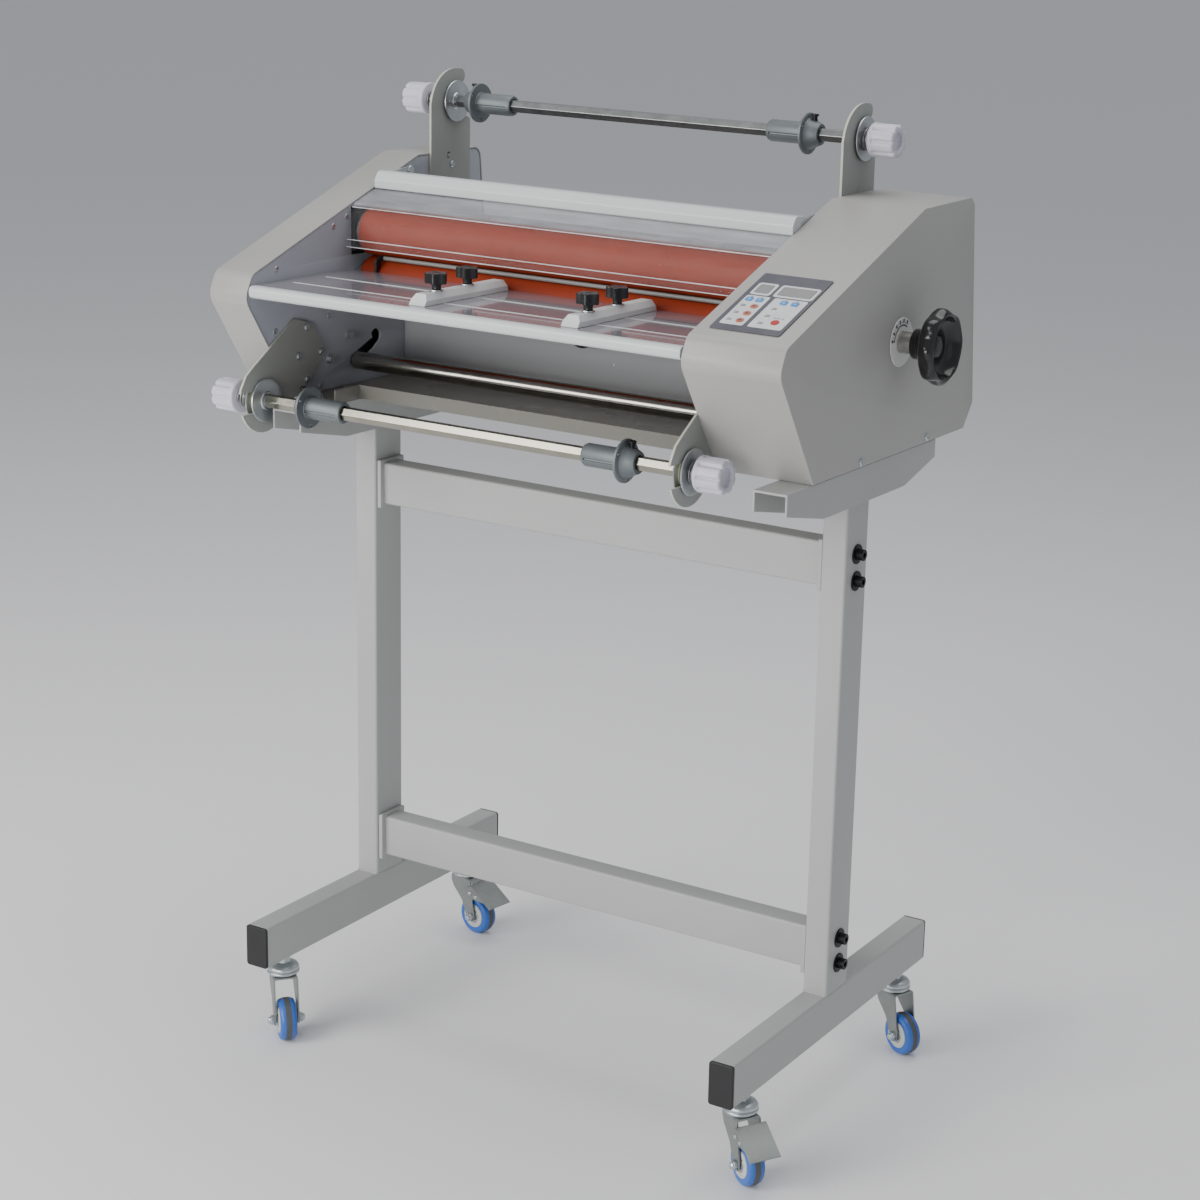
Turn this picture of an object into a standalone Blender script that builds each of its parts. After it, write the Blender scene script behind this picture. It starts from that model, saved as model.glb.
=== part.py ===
"""Roll laminator on a wheeled stand, in metres, +Z up, floor at z = 0.

+X runs along the rollers to the operator's right, and the operator stands on the -Y side.
The machine is drawn about the middle of its stand, and the root empty then moves it so
that the origin lies under the middle of its outline on the floor.
"""
import math

import bmesh
import bpy
from mathutils import Matrix, Vector

# --- Driving dimensions ---------------------------------------------------------------
GAP = 0.0003                     # running or mating gap between neighbours
ROOT_SHIFT = (0.0060, -0.0184, 0.0)

# Stand, welded from 30 x 50 mm tube
TUBE_W = 0.030
TUBE_H = 0.050
TUBE_WALL = 0.002
STAND_HALF = 0.330               # middle to the outer face of a leg
BEAM_HALF = 0.225                # foot beam, half length
BEAM_Z = 0.100                   # underside of the foot beam
BEAM_TOP = BEAM_Z + TUBE_H
POST_TOP = 0.7510
UPPER_BAR_Z = 0.6437             # crossbar centre heights
LOWER_BAR_Z = 0.1980
END_PLATE = 0.005                # thickness of a crossbar's end plate

# Casters: 50 mm wheels, 100 mm from floor to beam
CASTER_X = STAND_HALF - TUBE_W / 2
CASTER_Y = 0.182
WHEEL_R = 0.025
WHEEL_W = 0.020
TRAIL = 0.020                    # swivel axis to wheel axle
FORK_IN = 0.0125                 # half width inside the fork
FORK_OUT = 0.0145
PEDAL_PIVOT = (0.0200, 0.0580)   # in the fork's own frame
CASTERS = {                      # name: (side, end, heading in degrees, has a brake)
    "front_left": (-1, -1, -41.0, False),
    "rear_left": (-1, 1, -10.0, True),
    "front_right": (1, -1, -33.0, True),
    "rear_right": (1, 1, -25.0, False),
}

# Base channels that the head stands on, folded from 2.5 mm sheet
CHANNEL_OUT = 0.3330
CHANNEL_W = 0.0405
CHANNEL_TOP = 0.7540
CHANNEL_SHEET = 0.0025

# Head: two frame plates, with a narrow cover outside the left one and a wide one at the right
PLATE_LEFT = -0.3470             # faces that look at each other
PLATE_RIGHT = 0.2195
PLATE_T = 0.0030
COVER_LEFT = -0.3996             # outer side faces
COVER_RIGHT = 0.3345
SHEET = 0.0015
COVER_BOTTOM = 0.7545

# Rollers
ROLL_Y = 0.0160
ROLL_R = 0.0280
NIP_Z = 0.9090
ROLL_LEFT = PLATE_LEFT + 0.013
ROLL_RIGHT = PLATE_RIGHT - 0.013
JOURNAL_R = 0.0100
PULL_Y = 0.1600
PULL_R = 0.0200
LIFT = 0.0060                    # how far the handwheel raises the upper roller
GEAR_TEETH = 24
PINION_TEETH = 12
GEAR_X = (0.2360, 0.2480)
PINION_ANGLE = math.radians(-45.0)

# Idler tube that turns the lower film round
IDLER = (-0.0040, 0.7850)
IDLER_R = 0.0065                 # its ends, in the plates' slots
IDLER_TUBE_R = 0.0105

# Pressure shaft and its handwheel
SHAFT_Y = 0.0717
SHAFT_Z = 0.8786
SHAFT_R = 0.0080
CAM_R = 0.0160
WHEEL_RIM_R = 0.0420
HUB_START = 0.3520

# Feed table and its guides
TABLE_TOP = 0.8940
TABLE_FRONT = -0.1890
TABLE_REAR = -0.0120
SLOT_Y = (-0.1340, -0.0780)      # T-slots that the guides clamp in
GUIDES = {"left": -0.1280, "right": 0.0690}
GUIDE_W = 0.0210
GUIDE_H = 0.0120

# Guard: white bar with a clear shield, on two short arms hinged behind it
GUARD_Y = 0.0990
GUARD_Z = 1.0010
GUARD_PIN_R = 0.0035

# Film supply shafts: (y, z) of each axis, and where the chucks sit along the bar
SUPPLY = {"upper": (0.1870, 1.0790), "lower": (-0.1660, 0.7620)}
CHUCK_X = {
    "upper": (-0.3050, 0.1470),
    "lower": (-0.2775, 0.1390),
}
COLLAR = {                       # length of each chuck's collar, at the left and right
    "upper": (0.0180, 0.0180),
    "lower": (0.0130, 0.0180),
}
HEX_FLATS = 0.0140
BRACKET_T = 0.0030
BUSH_R = 0.0120
DISC_R = 0.0250
KNOB_R = 0.0195
KNOB_L = 0.0320
KNOB_GAP = {                     # bracket's outer face to the knob, at the left and right end
    "upper": (0.0333, 0.0120),
    "lower": (0.0283, 0.0120),
}


# --- Materials ------------------------------------------------------------------------
def material(name, colour, roughness, metallic=0.0, alpha=1.0):
    """One Principled material, made once and shared by the pieces that use it."""
    found = bpy.data.materials.get(name)
    if found:
        return found
    made = bpy.data.materials.new(name)
    made.use_nodes = True
    shader = made.node_tree.nodes["Principled BSDF"]
    shader.inputs["Base Color"].default_value = (*colour, 1.0)
    shader.inputs["Roughness"].default_value = roughness
    shader.inputs["Metallic"].default_value = metallic
    shader.inputs["Alpha"].default_value = alpha
    return made


def stand_grey():
    return material("stand_grey", (0.37, 0.38, 0.37), 0.45)


def cover_grey():
    return material("cover_grey", (0.36, 0.36, 0.35), 0.5)


def plate_grey():
    return material("plate_grey", (0.36, 0.39, 0.43), 0.45)


def zinc():
    return material("zinc", (0.50, 0.52, 0.53), 0.3, 0.9)


def steel():
    return material("steel", (0.45, 0.44, 0.41), 0.25, 1.0)


def cast_grey():
    return material("cast_grey", (0.16, 0.18, 0.19), 0.5, 0.4)


def silicone_red():
    return material("silicone_red", (0.27, 0.035, 0.015), 0.5)


def rubber_grey():
    return material("rubber_grey", (0.10, 0.10, 0.11), 0.6)


def white_extrusion():
    return material("white_extrusion", (0.58, 0.62, 0.62), 0.4)


def knob_white():
    return material("knob_white", (0.60, 0.59, 0.68), 0.35)


def black_plastic():
    return material("black_plastic", (0.012, 0.012, 0.013), 0.4)


def clear_sheet():
    return material("clear_sheet", (0.85, 0.87, 0.88), 0.05, 0.0, 0.2)


def wheel_blue():
    return material("wheel_blue", (0.05, 0.15, 0.55), 0.4)


# --- Shape helpers --------------------------------------------------------------------
AXES = {"X": (1, 2, 0), "Y": (0, 2, 1), "Z": (0, 1, 2)}


def placed(axis, along, across, up):
    """A point from its distance along an axis and its two places across it."""
    first, second, third = AXES[axis]
    point = [0.0, 0.0, 0.0]
    point[first] = across
    point[second] = up
    point[third] = along
    return Vector(point)


def finish(name, bm, made_of, pivot=(0.0, 0.0, 0.0)):
    """Turn a bmesh into an object that stands on the root with its origin at the pivot."""
    bmesh.ops.remove_doubles(bm, verts=bm.verts, dist=1e-6)
    bmesh.ops.recalc_face_normals(bm, faces=bm.faces)
    bmesh.ops.translate(bm, verts=bm.verts, vec=-Vector(pivot))
    mesh = bpy.data.meshes.new(name)
    bm.to_mesh(mesh)
    bm.free()
    mesh.materials.append(made_of)
    mesh.shade_smooth()
    mesh.set_sharp_from_angle(angle=math.radians(35.0))
    made = bpy.data.objects.new(name, mesh)
    made.location = pivot
    bpy.context.collection.objects.link(made)
    made.parent = bpy.data.objects["root"]
    return made


def prism(name, outline, axis, start, end, made_of, pivot=(0.0, 0.0, 0.0)):
    """Push a flat outline along an axis from start to end."""
    bm = bmesh.new()
    verts = [bm.verts.new(placed(axis, start, across, up)) for across, up in outline]
    face = bm.faces.new(verts)
    pushed = bmesh.ops.extrude_face_region(bm, geom=[face])
    moved = [item for item in pushed["geom"] if isinstance(item, bmesh.types.BMVert)]
    bmesh.ops.translate(bm, verts=moved, vec=placed(axis, end - start, 0.0, 0.0))
    return finish(name, bm, made_of, pivot)


def box(name, low, high, made_of, pivot=(0.0, 0.0, 0.0)):
    """A block between two corners."""
    outline = [(low[0], low[1]), (high[0], low[1]), (high[0], high[1]), (low[0], high[1])]
    return prism(name, outline, "Z", low[2], high[2], made_of, pivot)


def turned(name, profile, axis, centre, steps, made_of, pivot=None, closed=False):
    """Spin a profile of (radius, place along the axis) points about an axis line.

    centre holds the axis line's two places across it. A closed profile is a ring with a bore.
    """
    across, up = centre
    bm = bmesh.new()
    verts = [bm.verts.new(placed(axis, along, across + radius, up)) for radius, along in profile]
    pairs = list(zip(verts, verts[1:]))
    if closed:
        pairs.append((verts[-1], verts[0]))
    edges = [bm.edges.new(pair) for pair in pairs]
    line = placed(axis, 0.0, across, up)
    direction = placed(axis, 1.0, 0.0, 0.0)
    bmesh.ops.spin(bm, geom=verts + edges, cent=line, axis=direction, angle=math.tau, steps=steps)
    return finish(name, bm, made_of, pivot or line)


def cut(target, *cutters):
    """Take hidden shapes away from a piece."""
    for cutter in cutters:
        combine(target, cutter, "DIFFERENCE")


def join(target, *others):
    """Weld hidden shapes onto a piece."""
    for other in others:
        combine(target, other, "UNION")


def combine(target, other, operation):
    other.hide_render = True
    other.display_type = "WIRE"
    other.location -= target.location
    other.parent = target
    step = target.modifiers.new(f"{operation.lower()}_{other.name}", "BOOLEAN")
    step.operation = operation
    step.object = other


def arc(centre, radius, start, end, steps):
    """Points on an arc, with its angles in degrees."""
    points = []
    for step in range(steps + 1):
        turn = math.radians(start + (end - start) * step / steps)
        points.append((centre[0] + radius * math.cos(turn), centre[1] + radius * math.sin(turn)))
    return points


def rounded(corners, steps=4):
    """An outline whose (x, y, radius) corners are rounded by arcs."""
    outline = []
    count = len(corners)
    for index, (x, y, radius) in enumerate(corners):
        here = Vector((x, y))
        if radius == 0.0:
            outline.append((x, y))
            continue
        before = Vector(corners[index - 1][:2]) - here
        after = Vector(corners[(index + 1) % count][:2]) - here
        half = before.angle(after) / 2
        middle = here + (before.normalized() + after.normalized()).normalized() * radius / math.sin(half)
        first = here + before.normalized() * radius / math.tan(half) - middle
        last = here + after.normalized() * radius / math.tan(half) - middle
        sweep = first.angle_signed(last)
        for step in range(steps + 1):
            turned_by = Matrix.Rotation(-sweep * step / steps, 2)
            point = middle + turned_by @ first
            outline.append((point.x, point.y))
    return outline


def inset(outline, distance):
    """The outline moved inwards by a distance, its corners mitred."""
    count = len(outline)
    area = sum(outline[i - 1][0] * outline[i][1] - outline[i][0] * outline[i - 1][1] for i in range(count))
    inwards = 1.0 if area > 0 else -1.0
    moved = []
    for index in range(count):
        here = Vector(outline[index])
        back = (here - Vector(outline[index - 1])).normalized()
        ahead = (Vector(outline[(index + 1) % count]) - here).normalized()
        normal_back = Vector((-back.y, back.x)) * inwards
        normal_ahead = Vector((-ahead.y, ahead.x)) * inwards
        mitre = (normal_back + normal_ahead).normalized()
        point = here + mitre * distance / mitre.dot(normal_back)
        moved.append((point.x, point.y))
    return moved


def capsule(first, last, radius, steps=8):
    """A slot outline: two half rounds about two points."""
    along = math.degrees(math.atan2(last[1] - first[1], last[0] - first[0]))
    return arc(last, radius, along - 90, along + 90, steps) + arc(first, radius, along + 90, along + 270, steps)


def drill(name, axis, centre, radius, start, end, steps=16):
    """A round cutter along an axis."""
    outline = arc(centre, radius, 0.0, 360.0 - 360.0 / steps, steps - 1)
    return prism(name, outline, axis, start, end, steel())


# --- Stand ----------------------------------------------------------------------------
def leg(side, name):
    """Foot beam with a post welded on it, both from tube that is open at its ends."""
    outer = side * STAND_HALF
    inner = side * (STAND_HALF - TUBE_W)
    low_x, high_x = sorted((outer, inner))
    half_post = TUBE_H / 2
    beam = box(name, (low_x, -BEAM_HALF, BEAM_Z), (high_x, BEAM_HALF, BEAM_TOP), stand_grey())
    post = box(f"{name}_post", (low_x, -half_post, BEAM_TOP - TUBE_WALL / 2), (high_x, half_post, POST_TOP),
               stand_grey())
    beam_bore = box(f"{name}_beam_bore", (low_x + TUBE_WALL, -BEAM_HALF - 0.01, BEAM_Z + TUBE_WALL),
                    (high_x - TUBE_WALL, BEAM_HALF + 0.01, BEAM_TOP - TUBE_WALL), stand_grey())
    post_bore = box(f"{name}_post_bore", (low_x + TUBE_WALL, -half_post + TUBE_WALL, BEAM_TOP),
                    (high_x - TUBE_WALL, half_post - TUBE_WALL, POST_TOP + 0.01), stand_grey())
    join(beam, post)
    cut(beam, beam_bore, post_bore)


def crossbar(name, centre_z):
    """Tube between the posts, with a welded plate at each end that the post bolts pull on."""
    reach = STAND_HALF - TUBE_W - GAP
    half_w = TUBE_W / 2
    half_h = TUBE_H / 2
    bar = box(name, (-reach, -half_w, centre_z - half_h), (reach, half_w, centre_z + half_h), stand_grey())
    for side, word in ((-1, "left"), (1, "right")):
        low_x, high_x = sorted((side * reach, side * (reach - END_PLATE)))
        plate = box(f"{name}_{word}_plate", (low_x, -0.022, centre_z - half_h - 0.004),
                    (high_x, 0.022, centre_z + half_h + 0.004), stand_grey())
        join(bar, plate)
    bore = box(f"{name}_bore", (-reach - 0.01, -half_w + TUBE_WALL, centre_z - half_h + TUBE_WALL),
               (reach + 0.01, half_w - TUBE_WALL, centre_z + half_h - TUBE_WALL), stand_grey())
    cut(bar, bore)


def caster(word, side, end, heading, braked):
    """Swivel fork, wheel and, on two of them, a brake pedal, drawn along +X and then turned."""
    place = Vector((side * CASTER_X, end * CASTER_Y, 0.0))
    turn = math.radians(heading)
    fork = caster_fork(f"caster_fork_{word}", braked)
    wheel = caster_wheel(f"caster_wheel_{word}")
    parts = [fork, wheel]
    if braked:
        parts.append(brake_pedal(f"brake_pedal_{word}"))
    for part in parts:
        offset = Matrix.Rotation(turn, 3, "Z") @ part.location
        part.location = place + offset
        part.rotation_euler.z = turn


def caster_fork(name, braked):
    legs = rounded([(-0.0160, 0.0760, 0.0), (0.0170, 0.0760, 0.0), (0.0270, 0.0240, 0.0060),
                    (0.0140, 0.0190, 0.0060)])
    fork = prism(name, legs, "Y", -FORK_OUT, FORK_OUT, zinc())
    space = box(f"{name}_space", (-0.030, -FORK_IN, 0.0), (0.050, FORK_IN, 0.0740), zinc())
    head = turned(f"{name}_head", [(0.0, 0.0755), (0.0170, 0.0755), (0.0190, 0.0790), (0.0190, 0.0840),
                                   (0.0150, 0.0890), (0.0080, 0.0900), (0.0080, BEAM_Z - GAP),
                                   (0.0, BEAM_Z - GAP)], "Z", (0.0, 0.0), 16, zinc())
    axle = drill(f"{name}_axle", "Y", (TRAIL, WHEEL_R), 0.0040, -0.0175, 0.0175, 12)
    cut(fork, space)
    join(fork, head, axle)
    if braked:
        join(fork, drill(f"{name}_brake_pin", "Y", PEDAL_PIVOT, 0.0030, -0.0175, 0.0175, 12))
    return fork


def caster_wheel(name):
    half = WHEEL_W / 2
    profile = [(0.0044, -0.0112), (0.0110, -0.0112), (0.0110, -half), (WHEEL_R - 0.0040, -half),
               (WHEEL_R, -0.0030), (WHEEL_R, 0.0030), (WHEEL_R - 0.0040, half), (0.0110, half),
               (0.0110, 0.0112), (0.0044, 0.0112)]
    return turned(name, profile, "Y", (TRAIL, WHEEL_R), 20, wheel_blue(), closed=True)


def brake_pedal(name):
    """Bent pedal outside the fork; its cheeks hang on the fork's sides."""
    pivot = (PEDAL_PIVOT[0], 0.0, PEDAL_PIVOT[1])
    plate = [(0.0240, 0.0690), (0.0600, 0.0470), (0.0590, 0.0452), (0.0230, 0.0672)]
    pedal = prism(name, plate, "Y", -0.0185, 0.0185, zinc(), pivot)
    for side, word in ((-1, "near"), (1, "far")):
        low, high = sorted((side * (FORK_OUT + GAP), side * 0.0165))
        cheek = prism(f"{name}_{word}", [(0.0130, 0.0530), (0.0250, 0.0510), (0.0500, 0.0515),
                                         (0.0240, 0.0680), (0.0140, 0.0650)], "Y", low, high, zinc())
        join(pedal, cheek)
    cut(pedal, drill(f"{name}_pin_hole", "Y", PEDAL_PIVOT, 0.0034, -0.02, 0.02, 12))
    return pedal


# --- Head: channels, pan, plates and covers -------------------------------------------
def base_channel(side, name):
    """Folded channel on the post: its flanges are deepest where the post stands between them."""
    outline = [(-0.1650, CHANNEL_TOP), (-0.1650, 0.7310), (-0.0845, 0.7133), (0.1020, 0.7133),
               (0.1760, 0.7332), (0.1760, CHANNEL_TOP)]
    outer = side * CHANNEL_OUT
    inner = side * (CHANNEL_OUT - CHANNEL_W)
    low_x, high_x = sorted((outer, inner))
    channel = prism(name, outline, "X", low_x, high_x, stand_grey())
    hollow = box(f"{name}_hollow", (low_x + CHANNEL_SHEET, -0.2, 0.69),
                 (high_x - CHANNEL_SHEET, 0.2, CHANNEL_TOP - CHANNEL_SHEET), stand_grey())
    cut(channel, hollow)


PAN_BOTTOM = CHANNEL_TOP + GAP
PAN_TOP = PAN_BOTTOM + 0.0020
PAN_FRONT = -0.0620
PAN_LIP = 0.0160
PLATE_FOOT = PAN_TOP + GAP
REAR_PANEL_Y = 0.0910
REAR_PANEL_TOP = 0.8500


def base_pan():
    """Sheet floor of the head: it ties the two channels, and has an upright lip along its front."""
    low_x = PLATE_LEFT - 0.030
    high_x = COVER_RIGHT - 0.006
    pan = box("base_pan", (low_x, PAN_FRONT, PAN_BOTTOM), (high_x, 0.2300, PAN_TOP), stand_grey())
    lip = box("base_pan_lip", (-CHANNEL_OUT + CHANNEL_W, PAN_FRONT, PAN_BOTTOM),
              (PLATE_RIGHT - 0.002, PAN_FRONT + 0.0020, PAN_BOTTOM + PAN_LIP), stand_grey())
    ear = box("base_pan_ear", (low_x, -0.1050, PAN_BOTTOM),
              (-CHANNEL_OUT + CHANNEL_W, PAN_FRONT + 0.0005, PAN_TOP), stand_grey())
    ear_lip = box("base_pan_ear_lip", (-CHANNEL_OUT + CHANNEL_W - 0.0020, -0.1050, PAN_BOTTOM),
                  (-CHANNEL_OUT + CHANNEL_W, PAN_FRONT + 0.0005, PAN_BOTTOM + PAN_LIP), stand_grey())
    join(pan, lip, ear, ear_lip)


def cover_outline():
    """Side view of both covers, from the front foot round the nose, the slope and the back."""
    return rounded([(-0.1130, COVER_BOTTOM, 0.0), (-0.1930, 0.8790, 0.0200), (-0.1800, 0.9055, 0.0160),
                    (0.1170, 1.0180, 0.0), (0.2420, 1.0205, 0.0140), (0.2670, 0.7820, 0.0),
                    (0.2450, COVER_BOTTOM, 0.0)], 5)


def cover(name, outer_x, inner_x):
    """Folded shell: an outer side and a wrap-round edge, open below and towards the frame."""
    low_x, high_x = sorted((outer_x, inner_x))
    shell = prism(name, cover_outline(), "X", low_x, high_x, cover_grey())
    room = inset(cover_outline(), SHEET)
    hollow_low = low_x - 0.01 if outer_x > inner_x else low_x + SHEET
    hollow_high = high_x - SHEET if outer_x > inner_x else high_x + 0.01
    hollow = prism(f"{name}_hollow", room, "X", hollow_low, hollow_high, cover_grey())
    foot = box(f"{name}_foot", (hollow_low, -0.1130 + 0.004, 0.70), (hollow_high, 0.2450 - 0.004, 0.78),
               cover_grey())
    cut(shell, hollow, foot)
    return shell


def frame_plate(name, face_x, side):
    """Steel plate inside the cover's rim; every shaft of the head runs through it."""
    low_x, high_x = sorted((face_x, face_x + side * PLATE_T))
    plate = prism(name, inset(cover_outline(), PLATE_FOOT - COVER_BOTTOM), "X", low_x, high_x, plate_grey())
    before = low_x - 0.01
    beyond = high_x + 0.01
    cut(plate,
        box(f"{name}_window", (before, ROLL_Y - 0.0240, NIP_Z + 0.0010),
            (beyond, ROLL_Y + 0.0240, NIP_Z + ROLL_R + 0.0335), plate_grey()),
        drill(f"{name}_lower_bore", "X", (ROLL_Y, NIP_Z - ROLL_R), JOURNAL_R + 0.0004, before, beyond),
        drill(f"{name}_pull_up", "X", (PULL_Y, NIP_Z + PULL_R), SHAFT_R + 0.0004, before, beyond),
        drill(f"{name}_pull_down", "X", (PULL_Y, NIP_Z - PULL_R), SHAFT_R + 0.0004, before, beyond),
        drill(f"{name}_shaft_bore", "X", (SHAFT_Y, SHAFT_Z), SHAFT_R + 0.0004, before, beyond),
        drill(f"{name}_guard_bore", "X", (GUARD_Y, GUARD_Z), GUARD_PIN_R + 0.0004, before, beyond, 16),
        prism(f"{name}_idler_slot", capsule(IDLER, (0.0300, 0.8010), IDLER_R + 0.0005), "X", before, beyond,
              plate_grey()),
        drill(f"{name}_idler_lift", "X", (0.0360, 0.8080), 0.0090, before, beyond, 16))
    return plate


def rear_panel():
    """Light sheet that closes the back of the head between the plates, above the pan."""
    box("rear_panel", (PLATE_LEFT + GAP, REAR_PANEL_Y, PLATE_FOOT),
        (PLATE_RIGHT - GAP, REAR_PANEL_Y + SHEET, REAR_PANEL_TOP), cover_grey())


def control_panel():
    """Membrane keypad on the right cover's slope."""
    slope = math.atan2(1.0180 - 0.9055, 0.1170 + 0.1800)
    along = Vector((math.cos(slope), math.sin(slope)))
    up = Vector((-along.y, along.x))
    foot = Vector((-0.1800, 0.9055)) + along * 0.0190 + up * GAP
    corners = [foot, foot + along * 0.1200, foot + along * 0.1200 + up * 0.0014, foot + up * 0.0014]
    prism("control_panel", [tuple(corner) for corner in corners], "X", 0.2335, 0.3150, black_plastic())


# --- Rollers and drive ----------------------------------------------------------------
def roller(name, centre_z, radius, centre_y, journal, right_end, made_of):
    """Covered roller with steel journals that reach past both frame plates."""
    left_end = PLATE_LEFT - PLATE_T - 0.008
    profile = [(0.0, left_end), (journal, left_end), (journal, ROLL_LEFT - 0.006),
               (radius - 0.004, ROLL_LEFT - 0.006), (radius - 0.004, ROLL_LEFT), (radius, ROLL_LEFT),
               (radius, ROLL_RIGHT), (radius - 0.004, ROLL_RIGHT), (radius - 0.004, ROLL_RIGHT + 0.006),
               (journal, ROLL_RIGHT + 0.006), (journal, right_end), (0.0, right_end)]
    turned(name, profile, "X", (centre_y, centre_z), 24, made_of)


def gear_outline(teeth, pitch_r, phase, centre):
    """Straight-flanked teeth about a centre, thinned a little so that they run free."""
    module = 2 * pitch_r / teeth
    tip = pitch_r + 0.90 * module
    root = pitch_r - 1.15 * module
    step = math.tau / teeth
    outline = []
    for tooth in range(teeth):
        middle = phase + tooth * step
        for radius, part in ((root, -0.32), (tip, -0.10), (tip, 0.10), (root, 0.32)):
            turn = middle + part * step
            outline.append((centre[0] + radius * math.cos(turn), centre[1] + radius * math.sin(turn)))
    return outline


def roller_gear(name, centre_z, phase):
    """Gear on a roller's right journal, with a bore that clears the journal by the gap."""
    centre = (ROLL_Y, centre_z)
    outline = gear_outline(GEAR_TEETH, ROLL_R, phase, centre)
    pivot = (0.0, *centre)
    gear = prism(name, outline, "X", *GEAR_X, steel(), pivot)
    cut(gear, drill(f"{name}_bore", "X", centre, JOURNAL_R + GAP, GEAR_X[0] - 0.01, GEAR_X[1] + 0.01, 24))


def pinion_centre():
    reach = ROLL_R * (1 + PINION_TEETH / GEAR_TEETH)
    return (ROLL_Y + reach * math.cos(PINION_ANGLE), NIP_Z - ROLL_R + reach * math.sin(PINION_ANGLE))


def motor_pinion():
    centre = pinion_centre()
    outline = gear_outline(PINION_TEETH, ROLL_R * PINION_TEETH / GEAR_TEETH, 0.0, centre)
    pinion = prism("motor_pinion", outline, "X", *GEAR_X, steel(), (0.0, *centre))
    join(pinion, drill("motor_pinion_stub", "X", centre, 0.0040, GEAR_X[1] - 0.0020, GEAR_X[1] + 0.0080, 16))


def drive_motor():
    """Gear motor on three posts, its face just behind the pinion."""
    y, z = pinion_centre()
    body = rounded([(y - 0.032, z - 0.056, 0.006), (y + 0.034, z - 0.056, 0.006),
                    (y + 0.034, z + 0.014, 0.006), (y - 0.032, z + 0.014, 0.006)])
    motor = prism("drive_motor", body, "X", GEAR_X[1] + 0.0015, GEAR_X[1] + 0.0700, cast_grey())
    for index, (dy, dz) in enumerate(((-0.026, -0.050), (0.028, -0.050), (0.028, 0.004))):
        join(motor, drill(f"drive_motor_post_{index}", "X", (y + dy, z + dz), 0.0050,
                          PLATE_RIGHT + PLATE_T + GAP, GEAR_X[1] + 0.0100, 12))
    cut(motor, drill("drive_motor_bore", "X", (y, z), 0.0044, GEAR_X[1], GEAR_X[1] + 0.0100, 16))


def bearing_block(name, face_x, side):
    """Block that slides in the plate's window, with a foot that rests over the shaft's cam."""
    centre_z = NIP_Z + ROLL_R
    inner_x = face_x - side * 0.0050
    low_x, high_x = sorted((inner_x, face_x + side * 0.0090))
    half = 0.0240 - GAP
    block = box(name, (low_x, ROLL_Y - half, centre_z - 0.0225), (high_x, ROLL_Y + half, centre_z + 0.0225),
                black_plastic(), (0.0, ROLL_Y, centre_z))
    foot_z = SHAFT_Z - LIFT + CAM_R + GAP
    foot = [(0.0300, 0.9300), (0.0300, 0.9150), (0.0480, foot_z), (SHAFT_Y + 0.0150, foot_z),
            (SHAFT_Y + 0.0150, foot_z + 0.0060), (0.0560, foot_z + 0.0060), (0.0396, 0.9300)]
    low_foot, high_foot = sorted((inner_x, face_x - side * GAP))
    join(block, prism(f"{name}_foot", foot, "X", low_foot, high_foot, black_plastic()))
    cut(block, drill(f"{name}_bore", "X", (ROLL_Y, centre_z), JOURNAL_R + 0.0004, low_x - 0.01, high_x + 0.01))


def pressure_shaft():
    """Cross shaft: a quarter turn brings its two cams up under the feet of the bearing blocks."""
    left_end = PLATE_LEFT - PLATE_T - 0.010
    collar = COVER_RIGHT + 0.0016
    profile = [(0.0, left_end), (SHAFT_R, left_end), (SHAFT_R, collar), (0.0120, collar),
               (0.0120, HUB_START - GAP), (SHAFT_R, HUB_START - GAP), (SHAFT_R, 0.3680), (0.0, 0.3680)]
    shaft = turned("pressure_shaft", profile, "X", (SHAFT_Y, SHAFT_Z), 16, steel())
    for word, face_x, side in (("left", PLATE_LEFT, -1), ("right", PLATE_RIGHT, 1)):
        low_x, high_x = sorted((face_x - side * 0.0010, face_x - side * 0.0045))
        join(shaft, drill(f"pressure_cam_{word}", "X", (SHAFT_Y, SHAFT_Z - LIFT), CAM_R, low_x, high_x, 24))


def handwheel():
    """Lobed black wheel: a dished rim on a hub, outside the right cover."""
    centre = (SHAFT_Y, SHAFT_Z)
    lobes = 8
    outline = []
    for step in range(48):
        turn = math.tau * step / 48
        radius = WHEEL_RIM_R - 0.0020 + 0.0020 * math.cos(lobes * turn)
        outline.append((centre[0] + radius * math.cos(turn), centre[1] + radius * math.sin(turn)))
    pivot = (0.0, *centre)
    wheel = prism("handwheel", outline, "X", 0.3790, 0.4000, black_plastic(), pivot)
    flare = turned("handwheel_flare", [(0.0, HUB_START), (0.0165, HUB_START), (0.0165, 0.3640),
                                       (0.0380, 0.3795), (0.0, 0.3795)], "X", centre, 24, black_plastic())
    dish = turned("handwheel_dish", [(0.0, 0.4020), (0.0, 0.3830), (0.0150, 0.3830), (0.0300, 0.3880),
                                     (0.0350, 0.4020)], "X", centre, 24, black_plastic())
    join(wheel, flare)
    cut(wheel, dish, drill("handwheel_bore", "X", centre, SHAFT_R + GAP, 0.3300, 0.3690))


def dial_plate():
    """White scale ring under the handwheel, round the shaft."""
    profile = [(SHAFT_R + 0.0010, COVER_RIGHT + GAP), (0.0270, COVER_RIGHT + GAP),
               (0.0270, COVER_RIGHT + 0.0013), (SHAFT_R + 0.0010, COVER_RIGHT + 0.0013)]
    turned("dial_plate", profile, "X", (SHAFT_Y, SHAFT_Z), 24, white_extrusion(), closed=True)


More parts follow.
